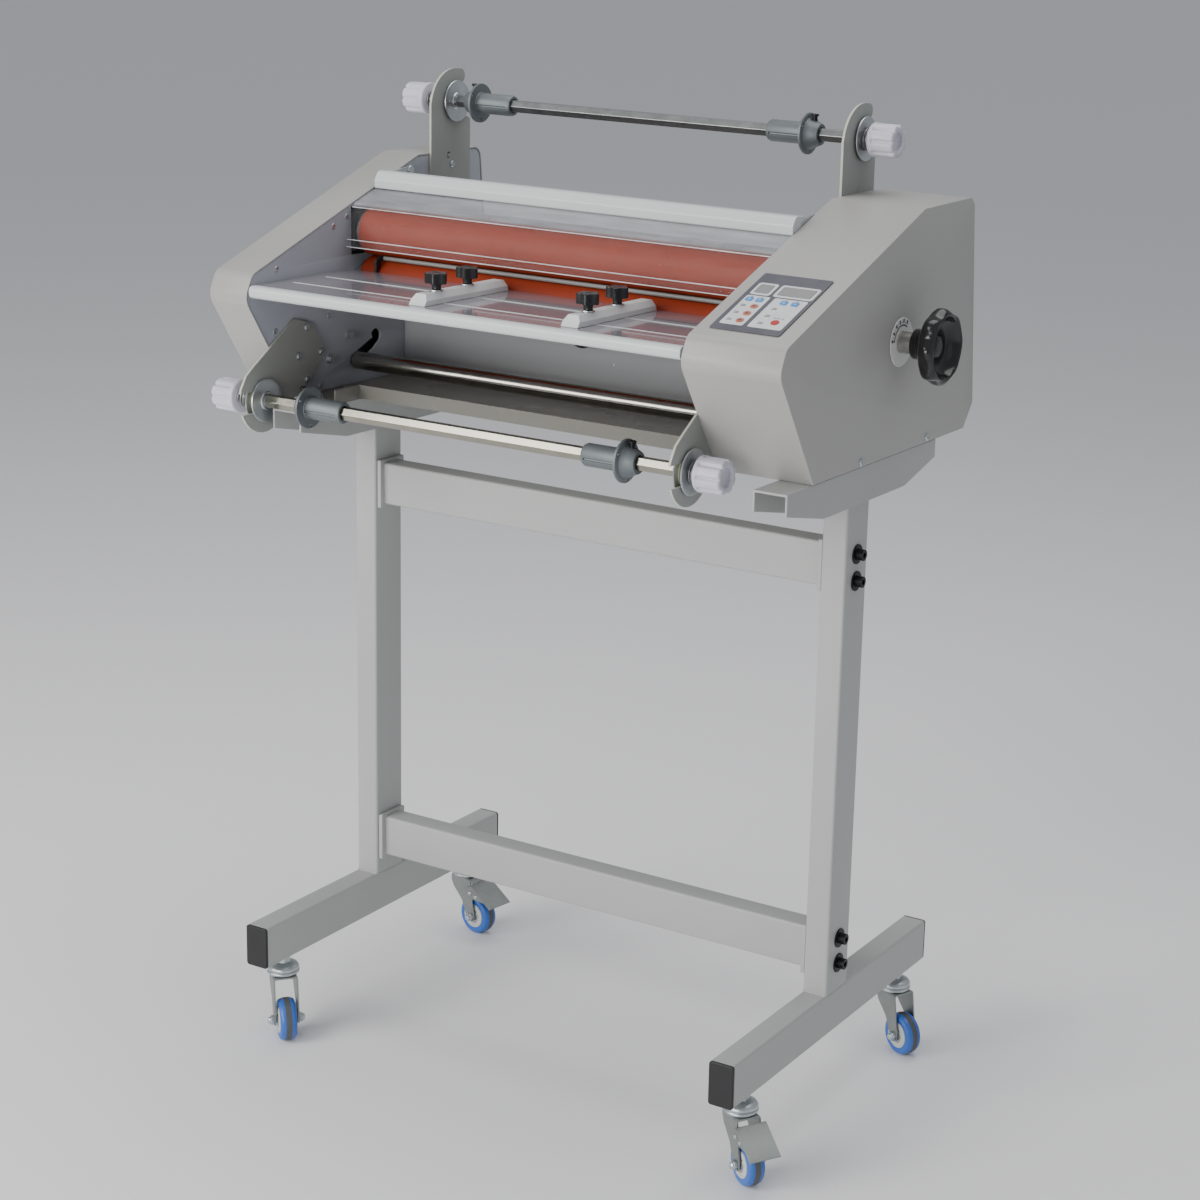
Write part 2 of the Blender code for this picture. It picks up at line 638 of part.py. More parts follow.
def idler_tube():
    """Bright tube that turns the lower film round; its thinner ends lie in the plates' slots."""
    ends = (PLATE_LEFT - 0.0060, PLATE_RIGHT + 0.0060)
    steps = (PLATE_LEFT + 0.0030, PLATE_RIGHT - 0.0030)
    profile = [(IDLER_R - 0.0020, ends[0]), (IDLER_R, ends[0]), (IDLER_R, steps[0]), (IDLER_TUBE_R, steps[0]),
               (IDLER_TUBE_R, steps[1]), (IDLER_R, steps[1]), (IDLER_R, ends[1]), (IDLER_R - 0.0020, ends[1])]
    turned("idler_tube", profile, "X", IDLER, 16, steel(), closed=True)


# --- Guard ----------------------------------------------------------------------------
def guard_bar():
    """White extruded bar on two arms, whose pins turn in the frame plates."""
    outline = rounded([(0.0330, 0.9845, 0.0020), (0.0650, 0.9860, 0.0020), (0.0650, 1.0030, 0.0050),
                       (0.0400, 1.0050, 0.0080), (0.0330, 0.9950, 0.0040)], 3)
    pivot = (0.0, GUARD_Y, GUARD_Z)
    bar = prism("guard_bar", outline, "X", PLATE_LEFT + 0.0015, PLATE_RIGHT - 0.0015, white_extrusion(), pivot)
    for word, face_x, side in (("left", PLATE_LEFT, -1), ("right", PLATE_RIGHT, 1)):
        low_arm, high_arm = sorted((face_x - side * 0.0010, face_x - side * 0.0035))
        low_pin, high_pin = sorted((face_x + side * (PLATE_T + 0.0005), face_x - side * 0.0030))
        arm = capsule((0.0560, 0.9945), (GUARD_Y, GUARD_Z), 0.0060, 6)
        join(bar, prism(f"guard_arm_{word}", arm, "X", low_arm, high_arm, white_extrusion()),
             drill(f"guard_pin_{word}", "X", (GUARD_Y, GUARD_Z), GUARD_PIN_R, low_pin, high_pin, 16))


def clear_shield():
    """Bent clear sheet under the bar: it slopes forward over the roller, then down in front of it."""
    outer = [(0.0440, 0.9842), (0.0330, 0.9842), (-0.0080, 0.9700), (-0.0215, 0.9210)]
    inner = [(-0.0200, 0.9206), (-0.0068, 0.9688), (0.0333, 0.9827), (0.0440, 0.9827)]
    prism("clear_shield", outer + inner, "X", PLATE_LEFT + 0.0025, PLATE_RIGHT - 0.0025, clear_sheet(),
          (0.0, GUARD_Y, GUARD_Z))


# --- Feed table -----------------------------------------------------------------------
def feed_table():
    """Flat table with a rounded white nose and two T-slots along it for the guides."""
    top = TABLE_TOP
    outline = rounded([(TABLE_REAR, top, 0.0), (TABLE_REAR, top - 0.0030, 0.0), (-0.1700, top - 0.0060, 0.0),
                       (-0.1750, top - 0.0138, 0.0030), (TABLE_FRONT, top - 0.0138, 0.0055),
                       (TABLE_FRONT, top, 0.0055)])
    table = prism("feed_table", outline, "X", PLATE_LEFT + 0.0030, PLATE_RIGHT - 0.0030, plate_grey())
    for index, slot_y in enumerate(SLOT_Y):
        cut(table, box(f"feed_slot_{index}", (PLATE_LEFT + 0.020, slot_y - 0.0015, top - 0.0015),
                       (PLATE_RIGHT - 0.020, slot_y + 0.0015, top + 0.01), plate_grey()))


def paper_guide(word, centre_x):
    """Bevelled bar across the table, square to the rollers."""
    low = TABLE_TOP + GAP
    half = GUIDE_W / 2
    end_low, end_high = -0.1690, -0.0160
    side_view = [(end_low, low), (end_high, low), (end_high - 0.004, low + GUIDE_H),
                 (end_low + 0.008, low + GUIDE_H)]
    guide = prism(f"{word}_guide", side_view, "X", centre_x - half, centre_x + half, white_extrusion(),
                  (centre_x, 0.0, low))
    for side in (-1, 1):
        edge = [(centre_x + side * half * 1.01, low + GUIDE_H * 0.45), (centre_x + side * half * 1.01, low + 0.02),
                (centre_x + side * half * 0.45, low + 0.02), (centre_x + side * half * 0.62, low + GUIDE_H)]
        cut(guide, prism(f"{word}_guide_bevel_{side}", edge, "Y", -0.19, 0.0, white_extrusion()))


def guide_knob(word, centre_x, index):
    """Five-lobed black thumb knob over a zinc washer."""
    centre = (centre_x, SLOT_Y[index])
    low = TABLE_TOP + GUIDE_H + 2 * GAP
    outline = []
    for step in range(30):
        turn = math.tau * step / 30
        radius = 0.0112 + 0.0016 * math.cos(5 * turn)
        outline.append((centre[0] + radius * math.cos(turn), centre[1] + radius * math.sin(turn)))
    name = f"{word}_guide_knob_{('front', 'rear')[index]}"
    knob = prism(name, outline, "Z", low + 0.0080, low + 0.0200, black_plastic(), (*centre, low))
    neck = turned(f"{name}_neck", [(0.0, low), (0.0070, low), (0.0070, low + 0.0015), (0.0055, low + 0.0020),
                                   (0.0065, low + 0.0100), (0.0, low + 0.0100)], "Z", centre, 16, black_plastic())
    join(knob, neck)


# --- Film supply ----------------------------------------------------------------------
def upper_bracket_outline():
    """Upright arm that hooks over the shaft from the front and is open to the rear."""
    y, z = SUPPLY["upper"]
    seat = BUSH_R + GAP
    outline = [(0.1390, 0.9790), (0.1390, z)]
    outline += arc((0.1865, z - 0.008), 0.0475, 172.0, 82.0, 8)
    outline += arc((y + 0.0100, z + 0.0300), 0.0090, 70.0, -60.0, 4)
    outline += arc((y, z), seat, 60.0, 300.0, 12)
    outline += [(0.2060, z - 0.0180), (0.2170, z - 0.0220), (0.2170, 0.9790)]
    return outline


def lower_bracket_outline():
    """Arm that reaches forward and down to the shaft, with its slot open to the front."""
    y, z = SUPPLY["lower"]
    seat = BUSH_R + GAP
    outline = [(-0.1130, 0.8480), (-0.0800, 0.8380), (-0.0590, 0.8050), (-0.0900, 0.7690)]
    outline += arc((y, z + 0.0020), 0.0390, -20.0, -158.0, 8)
    outline += arc((y, z), seat, -90.0, 90.0, 10)
    outline += [(-0.2050, z + seat), (-0.2040, 0.7790), (-0.1950, 0.7935), (-0.1850, 0.8010)]
    return outline


def supply_bracket(level, side_word, face_x, side):
    low_x, high_x = sorted((face_x - side * GAP, face_x - side * (GAP + BRACKET_T)))
    outline = upper_bracket_outline() if level == "upper" else lower_bracket_outline()
    prism(f"{level}_bracket_{side_word}", outline, "X", low_x, high_x, cast_grey())


def bracket_faces(side):
    """Inner and outer face of the brackets on one side, as signed places along X."""
    face = PLATE_LEFT if side < 0 else PLATE_RIGHT
    return face - side * (GAP + BRACKET_T), face - side * GAP


def supply_shaft(level):
    """Hexagon bar with turned ends: each end has two discs that straddle its bracket."""
    centre = SUPPLY[level]
    bar_r = HEX_FLATS / 2 / math.cos(math.radians(30.0))
    left_in, left_out = bracket_faces(-1)
    right_in, right_out = bracket_faces(1)
    outline = arc(centre, bar_r, 0.0, 300.0, 5)
    pivot = (0.0, *centre)
    shaft = prism(f"{level}_supply_shaft", outline, "X", left_in + 0.001, right_in - 0.001, steel(), pivot)
    ends = ((-1, left_in, left_out, "left"), (1, right_in, right_out, "right"))
    for index, (side, face_in, face_out, word) in enumerate(ends):
        disc_in = face_in - side * 2 * GAP
        disc_out = face_out + side * 2 * GAP
        tip = face_out + side * (KNOB_GAP[level][index] + 0.0200)
        profile = [(0.0, disc_in - side * 0.0050), (DISC_R, disc_in - side * 0.0050), (DISC_R, disc_in),
                   (BUSH_R, disc_in), (BUSH_R, disc_out), (DISC_R, disc_out), (DISC_R, disc_out + side * 0.0050),
                   (0.0060, disc_out + side * 0.0050), (0.0060, tip), (0.0, tip)]
        join(shaft, turned(f"{level}_shaft_end_{word}", profile, "X", centre, 20, steel()))


def core_chuck(level, side_word, flange_x, side, collar):
    """Cast chuck that slides on the bar: sleeve towards the middle, flange, then a clamping collar."""
    centre = SUPPLY[level]
    bore = 0.0086
    sleeve = flange_x - side * 0.0480
    profile = [(bore, sleeve), (0.0115, sleeve), (0.0125, sleeve + side * 0.0020), (0.0125, flange_x),
               (0.0235, flange_x), (0.0235, flange_x + side * 0.0030), (0.0180, flange_x + side * 0.0050),
               (0.0150, flange_x + side * 0.0110), (0.0120, flange_x + side * collar),
               (bore, flange_x + side * collar)]
    name = f"{level}_chuck_{side_word}"
    chuck = turned(name, profile, "X", centre, 16, cast_grey(), closed=True)
    y, z = centre
    join(chuck, drill(f"{name}_screw", "Z", (flange_x + side * 0.0090, y), 0.0030, z + 0.0130, z + 0.0225, 12))


def tension_knob(level, side_word, side, gap):
    """Fluted knob on the shaft's threaded end; it squeezes the spring against the disc."""
    centre = SUPPLY[level]
    face_out = bracket_faces(side)[1]
    start = face_out + side * gap
    end = start + side * KNOB_L
    outline = []
    for step in range(32):
        turn = math.tau * step / 32
        radius = KNOB_R - 0.0012 + 0.0012 * math.cos(8 * turn)
        outline.append((centre[0] + radius * math.cos(turn), centre[1] + radius * math.sin(turn)))
    name = f"{level}_knob_{side_word}"
    low_x, high_x = sorted((start, end))
    knob = prism(name, outline, "X", low_x, high_x, knob_white(), (0.0, *centre))
    low_bore, high_bore = sorted((start - side * 0.01, start + side * 0.0210))
    cut(knob, drill(f"{name}_bore", "X", centre, 0.0060 + GAP, low_bore, high_bore, 16))


# --- Assembly -------------------------------------------------------------------------
def build_stand():
    for side, word in ((-1, "left"), (1, "right")):
        leg(side, f"{word}_leg")
        base_channel(side, f"{word}_base_channel")
    crossbar("upper_crossbar", UPPER_BAR_Z)
    crossbar("lower_crossbar", LOWER_BAR_Z)
    for word, (side, end, heading, braked) in CASTERS.items():
        caster(word, side, end, heading, braked)


def build_head():
    base_pan()
    cover("left_cover", COVER_LEFT, PLATE_LEFT)
    right_cover = cover("right_cover", COVER_RIGHT, PLATE_RIGHT)
    cut(right_cover, drill("right_cover_shaft_bore", "X", (SHAFT_Y, SHAFT_Z), SHAFT_R + 0.0010,
                           COVER_RIGHT - 0.01, COVER_RIGHT + 0.01))
    frame_plate("left_frame_plate", PLATE_LEFT, -1)
    frame_plate("right_frame_plate", PLATE_RIGHT, 1)
    rear_panel()
    control_panel()


def build_rollers():
    gear_end = GEAR_X[1] + 0.0010
    past_plate = PLATE_RIGHT + PLATE_T + 0.008
    roller("upper_roller", NIP_Z + ROLL_R + GAP / 2, ROLL_R, ROLL_Y, JOURNAL_R, gear_end, silicone_red())
    roller("lower_roller", NIP_Z - ROLL_R - GAP / 2, ROLL_R, ROLL_Y, JOURNAL_R, gear_end, silicone_red())
    roller("upper_pull_roller", NIP_Z + PULL_R + GAP / 2, PULL_R, PULL_Y, SHAFT_R, past_plate, rubber_grey())
    roller("lower_pull_roller", NIP_Z - PULL_R - GAP / 2, PULL_R, PULL_Y, SHAFT_R, past_plate, rubber_grey())
    roller_gear("lower_roller_gear", NIP_Z - ROLL_R, 0.0)
    roller_gear("upper_roller_gear", NIP_Z + ROLL_R, math.tau / GEAR_TEETH / 2)
    motor_pinion()
    drive_motor()
    bearing_block("left_bearing_block", PLATE_LEFT, -1)
    bearing_block("right_bearing_block", PLATE_RIGHT, 1)
    pressure_shaft()
    handwheel()
    dial_plate()
    idler_tube()


def build_table_and_guard():
    guard_bar()
    clear_shield()
    feed_table()
    for word, centre_x in GUIDES.items():
        paper_guide(word, centre_x)
        for index in range(len(SLOT_Y)):
            guide_knob(word, centre_x, index)


def build_film_supply():
    for level in SUPPLY:
        supply_shaft(level)
        for index, (side, word) in enumerate(((-1, "left"), (1, "right"))):
            face_x = PLATE_LEFT if side < 0 else PLATE_RIGHT
            supply_bracket(level, word, face_x, side)
            core_chuck(level, word, CHUCK_X[level][index], side, COLLAR[level][index])
            tension_knob(level, word, side, KNOB_GAP[level][index])


def main():
    for thing in list(bpy.data.objects):
        bpy.data.objects.remove(thing, do_unlink=True)
    root = bpy.data.objects.new("root", None)
    root.location = ROOT_SHIFT
    bpy.context.collection.objects.link(root)
    build_stand()
    build_head()
    build_rollers()
    build_table_and_guard()
    build_film_supply()


main()
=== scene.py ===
"""Looks of a roll laminator on its wheeled stand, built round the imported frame, in metres.

+X runs along the rollers to the operator's right, -Y is towards the operator, +Z is up.
"""
import math

import bmesh
import bpy
from mathutils import Matrix, Vector


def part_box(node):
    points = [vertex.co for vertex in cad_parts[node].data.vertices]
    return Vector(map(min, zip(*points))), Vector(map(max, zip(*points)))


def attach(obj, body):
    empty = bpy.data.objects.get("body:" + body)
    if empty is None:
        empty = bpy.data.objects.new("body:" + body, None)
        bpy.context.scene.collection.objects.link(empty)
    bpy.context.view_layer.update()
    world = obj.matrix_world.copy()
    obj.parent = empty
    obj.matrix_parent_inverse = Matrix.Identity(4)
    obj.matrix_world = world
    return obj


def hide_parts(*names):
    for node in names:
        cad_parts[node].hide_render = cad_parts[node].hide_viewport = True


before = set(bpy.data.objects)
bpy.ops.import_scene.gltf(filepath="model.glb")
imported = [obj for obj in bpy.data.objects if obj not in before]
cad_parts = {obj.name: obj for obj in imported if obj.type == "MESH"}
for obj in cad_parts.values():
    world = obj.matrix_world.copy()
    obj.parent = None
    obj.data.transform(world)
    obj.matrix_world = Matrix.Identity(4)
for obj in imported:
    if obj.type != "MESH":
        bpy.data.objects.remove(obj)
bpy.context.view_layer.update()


# --- Room: camera, floor and lights ---------------------------------------------------
# The machine is seen from the operator's right, a little above the covers, with a longish lens.
# Distances are counted from the middle of the stand, which lies beside the frame's origin.
left_leg_low, left_leg_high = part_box("left_leg")
right_leg_low, right_leg_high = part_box("right_leg")
HOME = Vector(((left_leg_low.x + right_leg_high.x) / 2, (left_leg_low.y + left_leg_high.y) / 2, 0.0))

camera_data = bpy.data.cameras.new("camera")
camera_data.sensor_width = 36.0
camera_data.lens = 72.73
camera_data.shift_x = -0.1973
camera_data.shift_y = -0.0569
camera = bpy.data.objects.new("camera", camera_data)
camera_right = Vector((0.88065102, 0.47180315, 0.04307643))
camera_up = Vector((-0.15486799, 0.20075283, 0.96732322))
camera_back = camera_right.cross(camera_up)
turn = Matrix((camera_right, camera_up, camera_back)).transposed().to_4x4()
camera.matrix_world = Matrix.Translation(HOME + Vector((1.4725, -2.2397, 1.3295))) @ turn
bpy.context.collection.objects.link(camera)
bpy.context.scene.camera = camera

floor_mesh = bpy.data.meshes.new("floor")
floor_mesh.from_pydata([(-90, -90, 0), (90, -90, 0), (90, 90, 0), (-90, 90, 0)], [], [(0, 1, 2, 3)])
floor = bpy.data.objects.new("floor", floor_mesh)
floor_paint = bpy.data.materials.new("floor paint")
floor_paint.use_nodes = True
floor_shader = floor_paint.node_tree.nodes["Principled BSDF"]
floor_shader.inputs["Base Color"].default_value = (0.86, 0.86, 0.87, 1.0)
floor_shader.inputs["Roughness"].default_value = 0.9
floor_mesh.materials.append(floor_paint)
bpy.context.collection.objects.link(floor)


def soft_box(name, place, aim, size, power, colour):
    """A square studio light that points at a spot on the machine."""
    data = bpy.data.lights.new(name, "AREA")
    data.size = size
    data.energy = power
    data.color = colour
    lamp = bpy.data.objects.new(name, data)
    lamp.location = HOME + Vector(place)
    lamp.rotation_euler = (Vector(place) - Vector(aim)).to_track_quat("Z", "Y").to_euler()
    bpy.context.collection.objects.link(lamp)


soft_box("key light", (-1.6, -2.9, 2.1), (0.0, 0.0, 0.6), 2.0, 95.0, (1.0, 0.985, 0.96))
soft_box("front light", (0.1, -3.0, 0.9), (-0.1, 0.0, 0.80), 1.2, 34.0, (1.0, 0.99, 0.97))
soft_box("side light", (2.9, -0.6, 1.4), (0.2, 0.0, 0.7), 2.0, 3.0, (0.80, 0.90, 1.0))
soft_box("top light", (0.1, 0.5, 3.2), (0.0, 0.0, 0.8), 2.2, 40.0, (1.0, 1.0, 1.0))
world = bpy.data.worlds.new("studio")
world.use_nodes = True
world.node_tree.nodes["Background"].inputs["Color"].default_value = (0.93, 0.95, 1.0, 1.0)
world.node_tree.nodes["Background"].inputs["Strength"].default_value = 0.42
bpy.context.scene.world = world


# --- Stand ----------------------------------------------------------------------------
# Two legs, each a foot beam with a post welded on it, and two crossbars bolted between them.
# All are 30 x 50 mm steel tube with rounded corners, powder coated light grey.
def new_group(name, inputs, outputs):
    """An empty shader group with its input and output sockets."""
    group = bpy.data.node_groups.new(name, "ShaderNodeTree")
    for label, kind, value in inputs:
        socket = group.interface.new_socket(label, in_out="INPUT", socket_type=kind)
        socket.default_value = value
    for label, kind in outputs:
        group.interface.new_socket(label, in_out="OUTPUT", socket_type=kind)
    return group


def noise(tree, vector, scale, detail, roughness=0.5):
    """A noise texture on a vector, with its scale set or linked."""
    node = tree.nodes.new("ShaderNodeTexNoise")
    node.inputs["Detail"].default_value = detail
    node.inputs["Roughness"].default_value = roughness
    tree.links.new(vector, node.inputs["Vector"])
    if isinstance(scale, (int, float)):
        node.inputs["Scale"].default_value = scale
    else:
        tree.links.new(scale, node.inputs["Scale"])
    return node.outputs["Fac"]


def remap(tree, value, low, high, to_low, to_high):
    """A value stretched from one range to another, with both ends held."""
    node = tree.nodes.new("ShaderNodeMapRange")
    node.inputs["From Min"].default_value = low
    node.inputs["From Max"].default_value = high
    node.inputs["To Min"].default_value = to_low
    node.inputs["To Max"].default_value = to_high
    tree.links.new(value, node.inputs["Value"])
    return node.outputs["Result"]


def maths(tree, operation, first, second):
    """Two values, or a value and a number, through one sum."""
    node = tree.nodes.new("ShaderNodeMath")
    node.operation = operation
    for socket, item in zip(node.inputs, (first, second)):
        if isinstance(item, (int, float)):
            socket.default_value = item
        else:
            tree.links.new(item, socket)
    return node.outputs["Value"]


def brightened(tree, colour, factor):
    """A colour made lighter or darker by a factor that changes over the surface."""
    node = tree.nodes.new("ShaderNodeVectorMath")
    node.operation = "SCALE"
    tree.links.new(colour, node.inputs[0])
    tree.links.new(factor, node.inputs["Scale"])
    return node.outputs["Vector"]


def object_coordinates(tree):
    """The place on the piece, in metres."""
    return tree.nodes.new("ShaderNodeTexCoord").outputs["Object"]


def powder_coat_group():
    """Baked powder coat: an orange-peel skin, fine flecks, and a broad drift in shade."""
    group = new_group("powder coat",
                      [("Colour", "NodeSocketColor", (0.5, 0.5, 0.5, 1.0)),
                       ("Grain", "NodeSocketFloat", 700.0),
                       ("Gloss Floor", "NodeSocketFloat", 0.4),
                       ("Fleck", "NodeSocketFloat", 0.06)],
                      [("Colour", "NodeSocketColor"), ("Roughness", "NodeSocketFloat"),
                       ("Height", "NodeSocketFloat")])
    given = group.nodes.new("NodeGroupInput")
    place = object_coordinates(group)
    peel = noise(group, place, given.outputs["Grain"], 2.0)
    fleck = noise(group, place, 2600.0, 1.0)
    drift = noise(group, place, 5.0, 3.0)
    fleck_tint = maths(group, "MULTIPLY", maths(group, "SUBTRACT", fleck, 0.5), given.outputs["Fleck"])
    shade = maths(group, "ADD", remap(group, drift, 0.3, 0.7, 0.965, 1.035),
                  maths(group, "MULTIPLY", fleck_tint, 4.0))
    rough = maths(group, "ADD", given.outputs["Gloss Floor"], remap(group, drift, 0.35, 0.65, 0.0, 0.10))
    result = group.nodes.new("NodeGroupOutput")
    group.links.new(brightened(group, given.outputs["Colour"], shade), result.inputs["Colour"])
    group.links.new(rough, result.inputs["Roughness"])
    group.links.new(peel, result.inputs["Height"])
    return group


def surfaced(name, group, colour, values, bump, metallic=0.0, **sockets):
    """A Principled material whose colour, roughness and relief come from a shared effect."""
    material = bpy.data.materials.new(name)
    material.use_nodes = True
    tree = material.node_tree
    shader = tree.nodes["Principled BSDF"]
    shader.inputs["Metallic"].default_value = metallic
    for label, value in sockets.items():
        shader.inputs[label.replace("_", " ")].default_value = value
    effect = tree.nodes.new("ShaderNodeGroup")
    effect.node_tree = group
    effect.inputs["Colour"].default_value = (*colour, 1.0)
    for label, value in values.items():
        effect.inputs[label].default_value = value
    tree.links.new(effect.outputs["Colour"], shader.inputs["Base Color"])
    tree.links.new(effect.outputs["Roughness"], shader.inputs["Roughness"])
    relief = tree.nodes.new("ShaderNodeBump")
    relief.inputs["Strength"].default_value = bump[0]
    relief.inputs["Distance"].default_value = bump[1]
    tree.links.new(effect.outputs["Height"], relief.inputs["Height"])
    tree.links.new(relief.outputs["Normal"], shader.inputs["Normal"])
    return material


POWDER_COAT = powder_coat_group()
STAND_GREY = surfaced("stand grey powder coat", POWDER_COAT, (0.40, 0.41, 0.40),
                      {"Grain": 650.0, "Gloss Floor": 0.38, "Fleck": 0.05}, (0.25, 0.0003))

AXES = {"X": (1, 2, 0), "Y": (0, 2, 1), "Z": (0, 1, 2)}


def placed(axis, along, across, up):
    """A point from its distance along an axis and its two places across it."""
    point = [0.0, 0.0, 0.0]
    for index, value in zip(AXES[axis], (across, up, along)):
        point[index] = value
    return Vector(point)


def as_piece(name, bm, material, flip_check=True):
    """Turn a bmesh into a linked piece with one material and smooth faces."""
    bmesh.ops.remove_doubles(bm, verts=bm.verts, dist=1e-7)
    if flip_check:
        bmesh.ops.recalc_face_normals(bm, faces=bm.faces)
    mesh = bpy.data.meshes.new(name)
    bm.to_mesh(mesh)
    bm.free()
    mesh.materials.append(material)
    mesh.shade_smooth()
    piece = bpy.data.objects.new(name, mesh)
    bpy.context.collection.objects.link(piece)
    return piece


def pushed(name, outline, axis, start, end, material):
    """A solid made by pushing a flat outline along an axis."""
    bm = bmesh.new()
    verts = [bm.verts.new(placed(axis, start, across, up)) for across, up in outline]
    face = bm.faces.new(verts)
    moved = bmesh.ops.extrude_face_region(bm, geom=[face])["geom"]
    verts = [item for item in moved if isinstance(item, bmesh.types.BMVert)]
    bmesh.ops.translate(bm, verts=verts, vec=placed(axis, end - start, 0.0, 0.0))
    return as_piece(name, bm, material)


def pipe(name, outer, inner, axis, start, end, material):
    """An open tube between two outlines that have the same number of points."""
    bm = bmesh.new()
    rings = []
    for outline, along in ((outer, start), (outer, end), (inner, end), (inner, start)):
        rings.append([bm.verts.new(placed(axis, along, across, up)) for across, up in outline])
    count = len(outer)
    for ring, following in zip(rings, rings[1:] + rings[:1]):
        for index in range(count):
            after = (index + 1) % count
            bm.faces.new((ring[index], ring[after], following[after], following[index]))
    return as_piece(name, bm, material)


def round_rect(centre, width, height, radius, steps=5):
    """A rectangle outline with rounded corners."""
    outline = []
    for corner, (side, level) in enumerate(((1, 1), (-1, 1), (-1, -1), (1, -1))):
        middle = (centre[0] + side * (width / 2 - radius), centre[1] + level * (height / 2 - radius))
        for step in range(steps + 1):
            turned = math.radians(90.0 * (corner + step / steps))
            outline.append((middle[0] + radius * math.cos(turned), middle[1] + radius * math.sin(turned)))
    return outline


def baked_mesh(piece):
    """The piece's mesh with its modifiers worked in."""
    graph = bpy.context.evaluated_depsgraph_get()
    return bpy.data.meshes.new_from_object(piece.evaluated_get(graph))


def eased(piece, radius, segments=2, angle=30.0):
    """Round every sharp edge of a piece by a small radius."""
    piece.data.shade_smooth()
    step = piece.modifiers.new("rounded edges", "BEVEL")
    step.width = radius
    step.segments = segments
    step.limit_method = "ANGLE"
    step.angle_limit = math.radians(angle)
    step.harden_normals = True
    return piece


def creased(piece, angle=35.0):
    """Keep edges sharper than an angle crisp."""
    piece.data.set_sharp_from_angle(angle=math.radians(angle))
    return piece


def settle(piece, body, slot, *nodes, place=None):
    """Work a piece's modifiers and its place into its mesh, then fix it to its body."""
    mesh = baked_mesh(piece)
    piece.modifiers.clear()
    piece.data = mesh
    mesh.transform(place or Matrix.Translation(HOME))
    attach(piece, body)
    if nodes:
        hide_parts(*nodes)
    return piece


TUBE_W = 0.030
TUBE_H = 0.050
TUBE_WALL = 0.002
TUBE_CORNER = 0.0032
STAND_HALF = 0.330
BEAM_HALF = 0.225
BEAM_TOP = 0.150
BEAM_MIDDLE = BEAM_TOP - TUBE_H / 2
POST_TOP = 0.7510
CROSSBARS = {"upper": 0.6437, "lower": 0.1980}


def tube(name, centre, size, axis, start, end):
    """Rectangular steel tube, open at both ends."""
    outer = round_rect(centre, size[0], size[1], TUBE_CORNER)
    inner = round_rect(centre, size[0] - 2 * TUBE_WALL, size[1] - 2 * TUBE_WALL, TUBE_CORNER - TUBE_WALL)
    return creased(pipe(name, outer, inner, axis, start, end, STAND_GREY), 40.0)


def bead(name, corners, radius, material, waves=90, ripple=0.18):
    """A weld bead along a closed path, with the small ripples of each pass."""
    count = len(corners)
    lengths = [(Vector(corners[(i + 1) % count]) - Vector(corners[i])).length for i in range(count)]
    bm = bmesh.new()
    rings = []
    for wave in range(waves):
        along = sum(lengths) * wave / waves
        index = 0
        while along > lengths[index]:
            along -= lengths[index]
            index += 1
        start = Vector(corners[index])
        heading = (Vector(corners[(index + 1) % count]) - start).normalized()
        side = heading.cross(Vector((0.0, 0.0, 1.0)))
        size = radius * (1.0 + ripple * math.sin(wave * 2.1))
        centre = start + heading * along
        ring = []
        for step in range(8):
            turned = math.tau * step / 8
            ring.append(bm.verts.new(centre + (side * math.cos(turned) + Vector((0, 0,
                                                                                 1)) * math.sin(turned)) * size))
        rings.append(ring)
    for ring, following in zip(rings, rings[1:] + rings[:1]):
        for index in range(8):
            after = (index + 1) % 8
            bm.faces.new((ring[index], ring[after], following[after], following[index]))
    return as_piece(name, bm, material)


for side, word in ((-1, "left"), (1, "right")):
    leg_x = side * (STAND_HALF - TUBE_W / 2)
    beam = tube(f"{word}_foot_beam", (leg_x, BEAM_MIDDLE), (TUBE_W, TUBE_H), "Y", -BEAM_HALF, BEAM_HALF)
    settle(beam, "frame", "stand_grey", f"{word}_leg")
    post = tube(f"{word}_post", (leg_x, 0.0), (TUBE_W, TUBE_H), "Z", BEAM_TOP - 0.0004, POST_TOP)
    settle(post, "frame", "stand_grey")
    half_w, half_h = TUBE_W / 2 - 0.001, TUBE_H / 2
    seam = [(leg_x - half_w, -half_h, BEAM_TOP), (leg_x + half_w, -half_h, BEAM_TOP),
            (leg_x + half_w, half_h, BEAM_TOP), (leg_x - half_w, half_h, BEAM_TOP)]
    settle(bead(f"{word}_post_weld", seam, 0.0013, STAND_GREY), "frame", "stand_grey")

for level, bar_z in CROSSBARS.items():
    reach = STAND_HALF - TUBE_W - 0.0006
    bar = tube(f"{level}_crossbar_tube", (0.0, bar_z), (TUBE_W, TUBE_H), "X", -reach + 0.004, reach - 0.004)
    settle(bar, "frame", "stand_grey", f"{level}_crossbar")
    for side, word in ((-1, "left"), (1, "right")):
        low_x, high_x = sorted((side * reach, side * (reach - 0.005)))
        plate = pushed(f"{level}_crossbar_{word}_plate", round_rect((0.0, bar_z), 0.044, 0.058, 0.002), "X",
                       low_x, high_x, STAND_GREY)
        settle(eased(plate, 0.0006), "frame", "stand_grey")


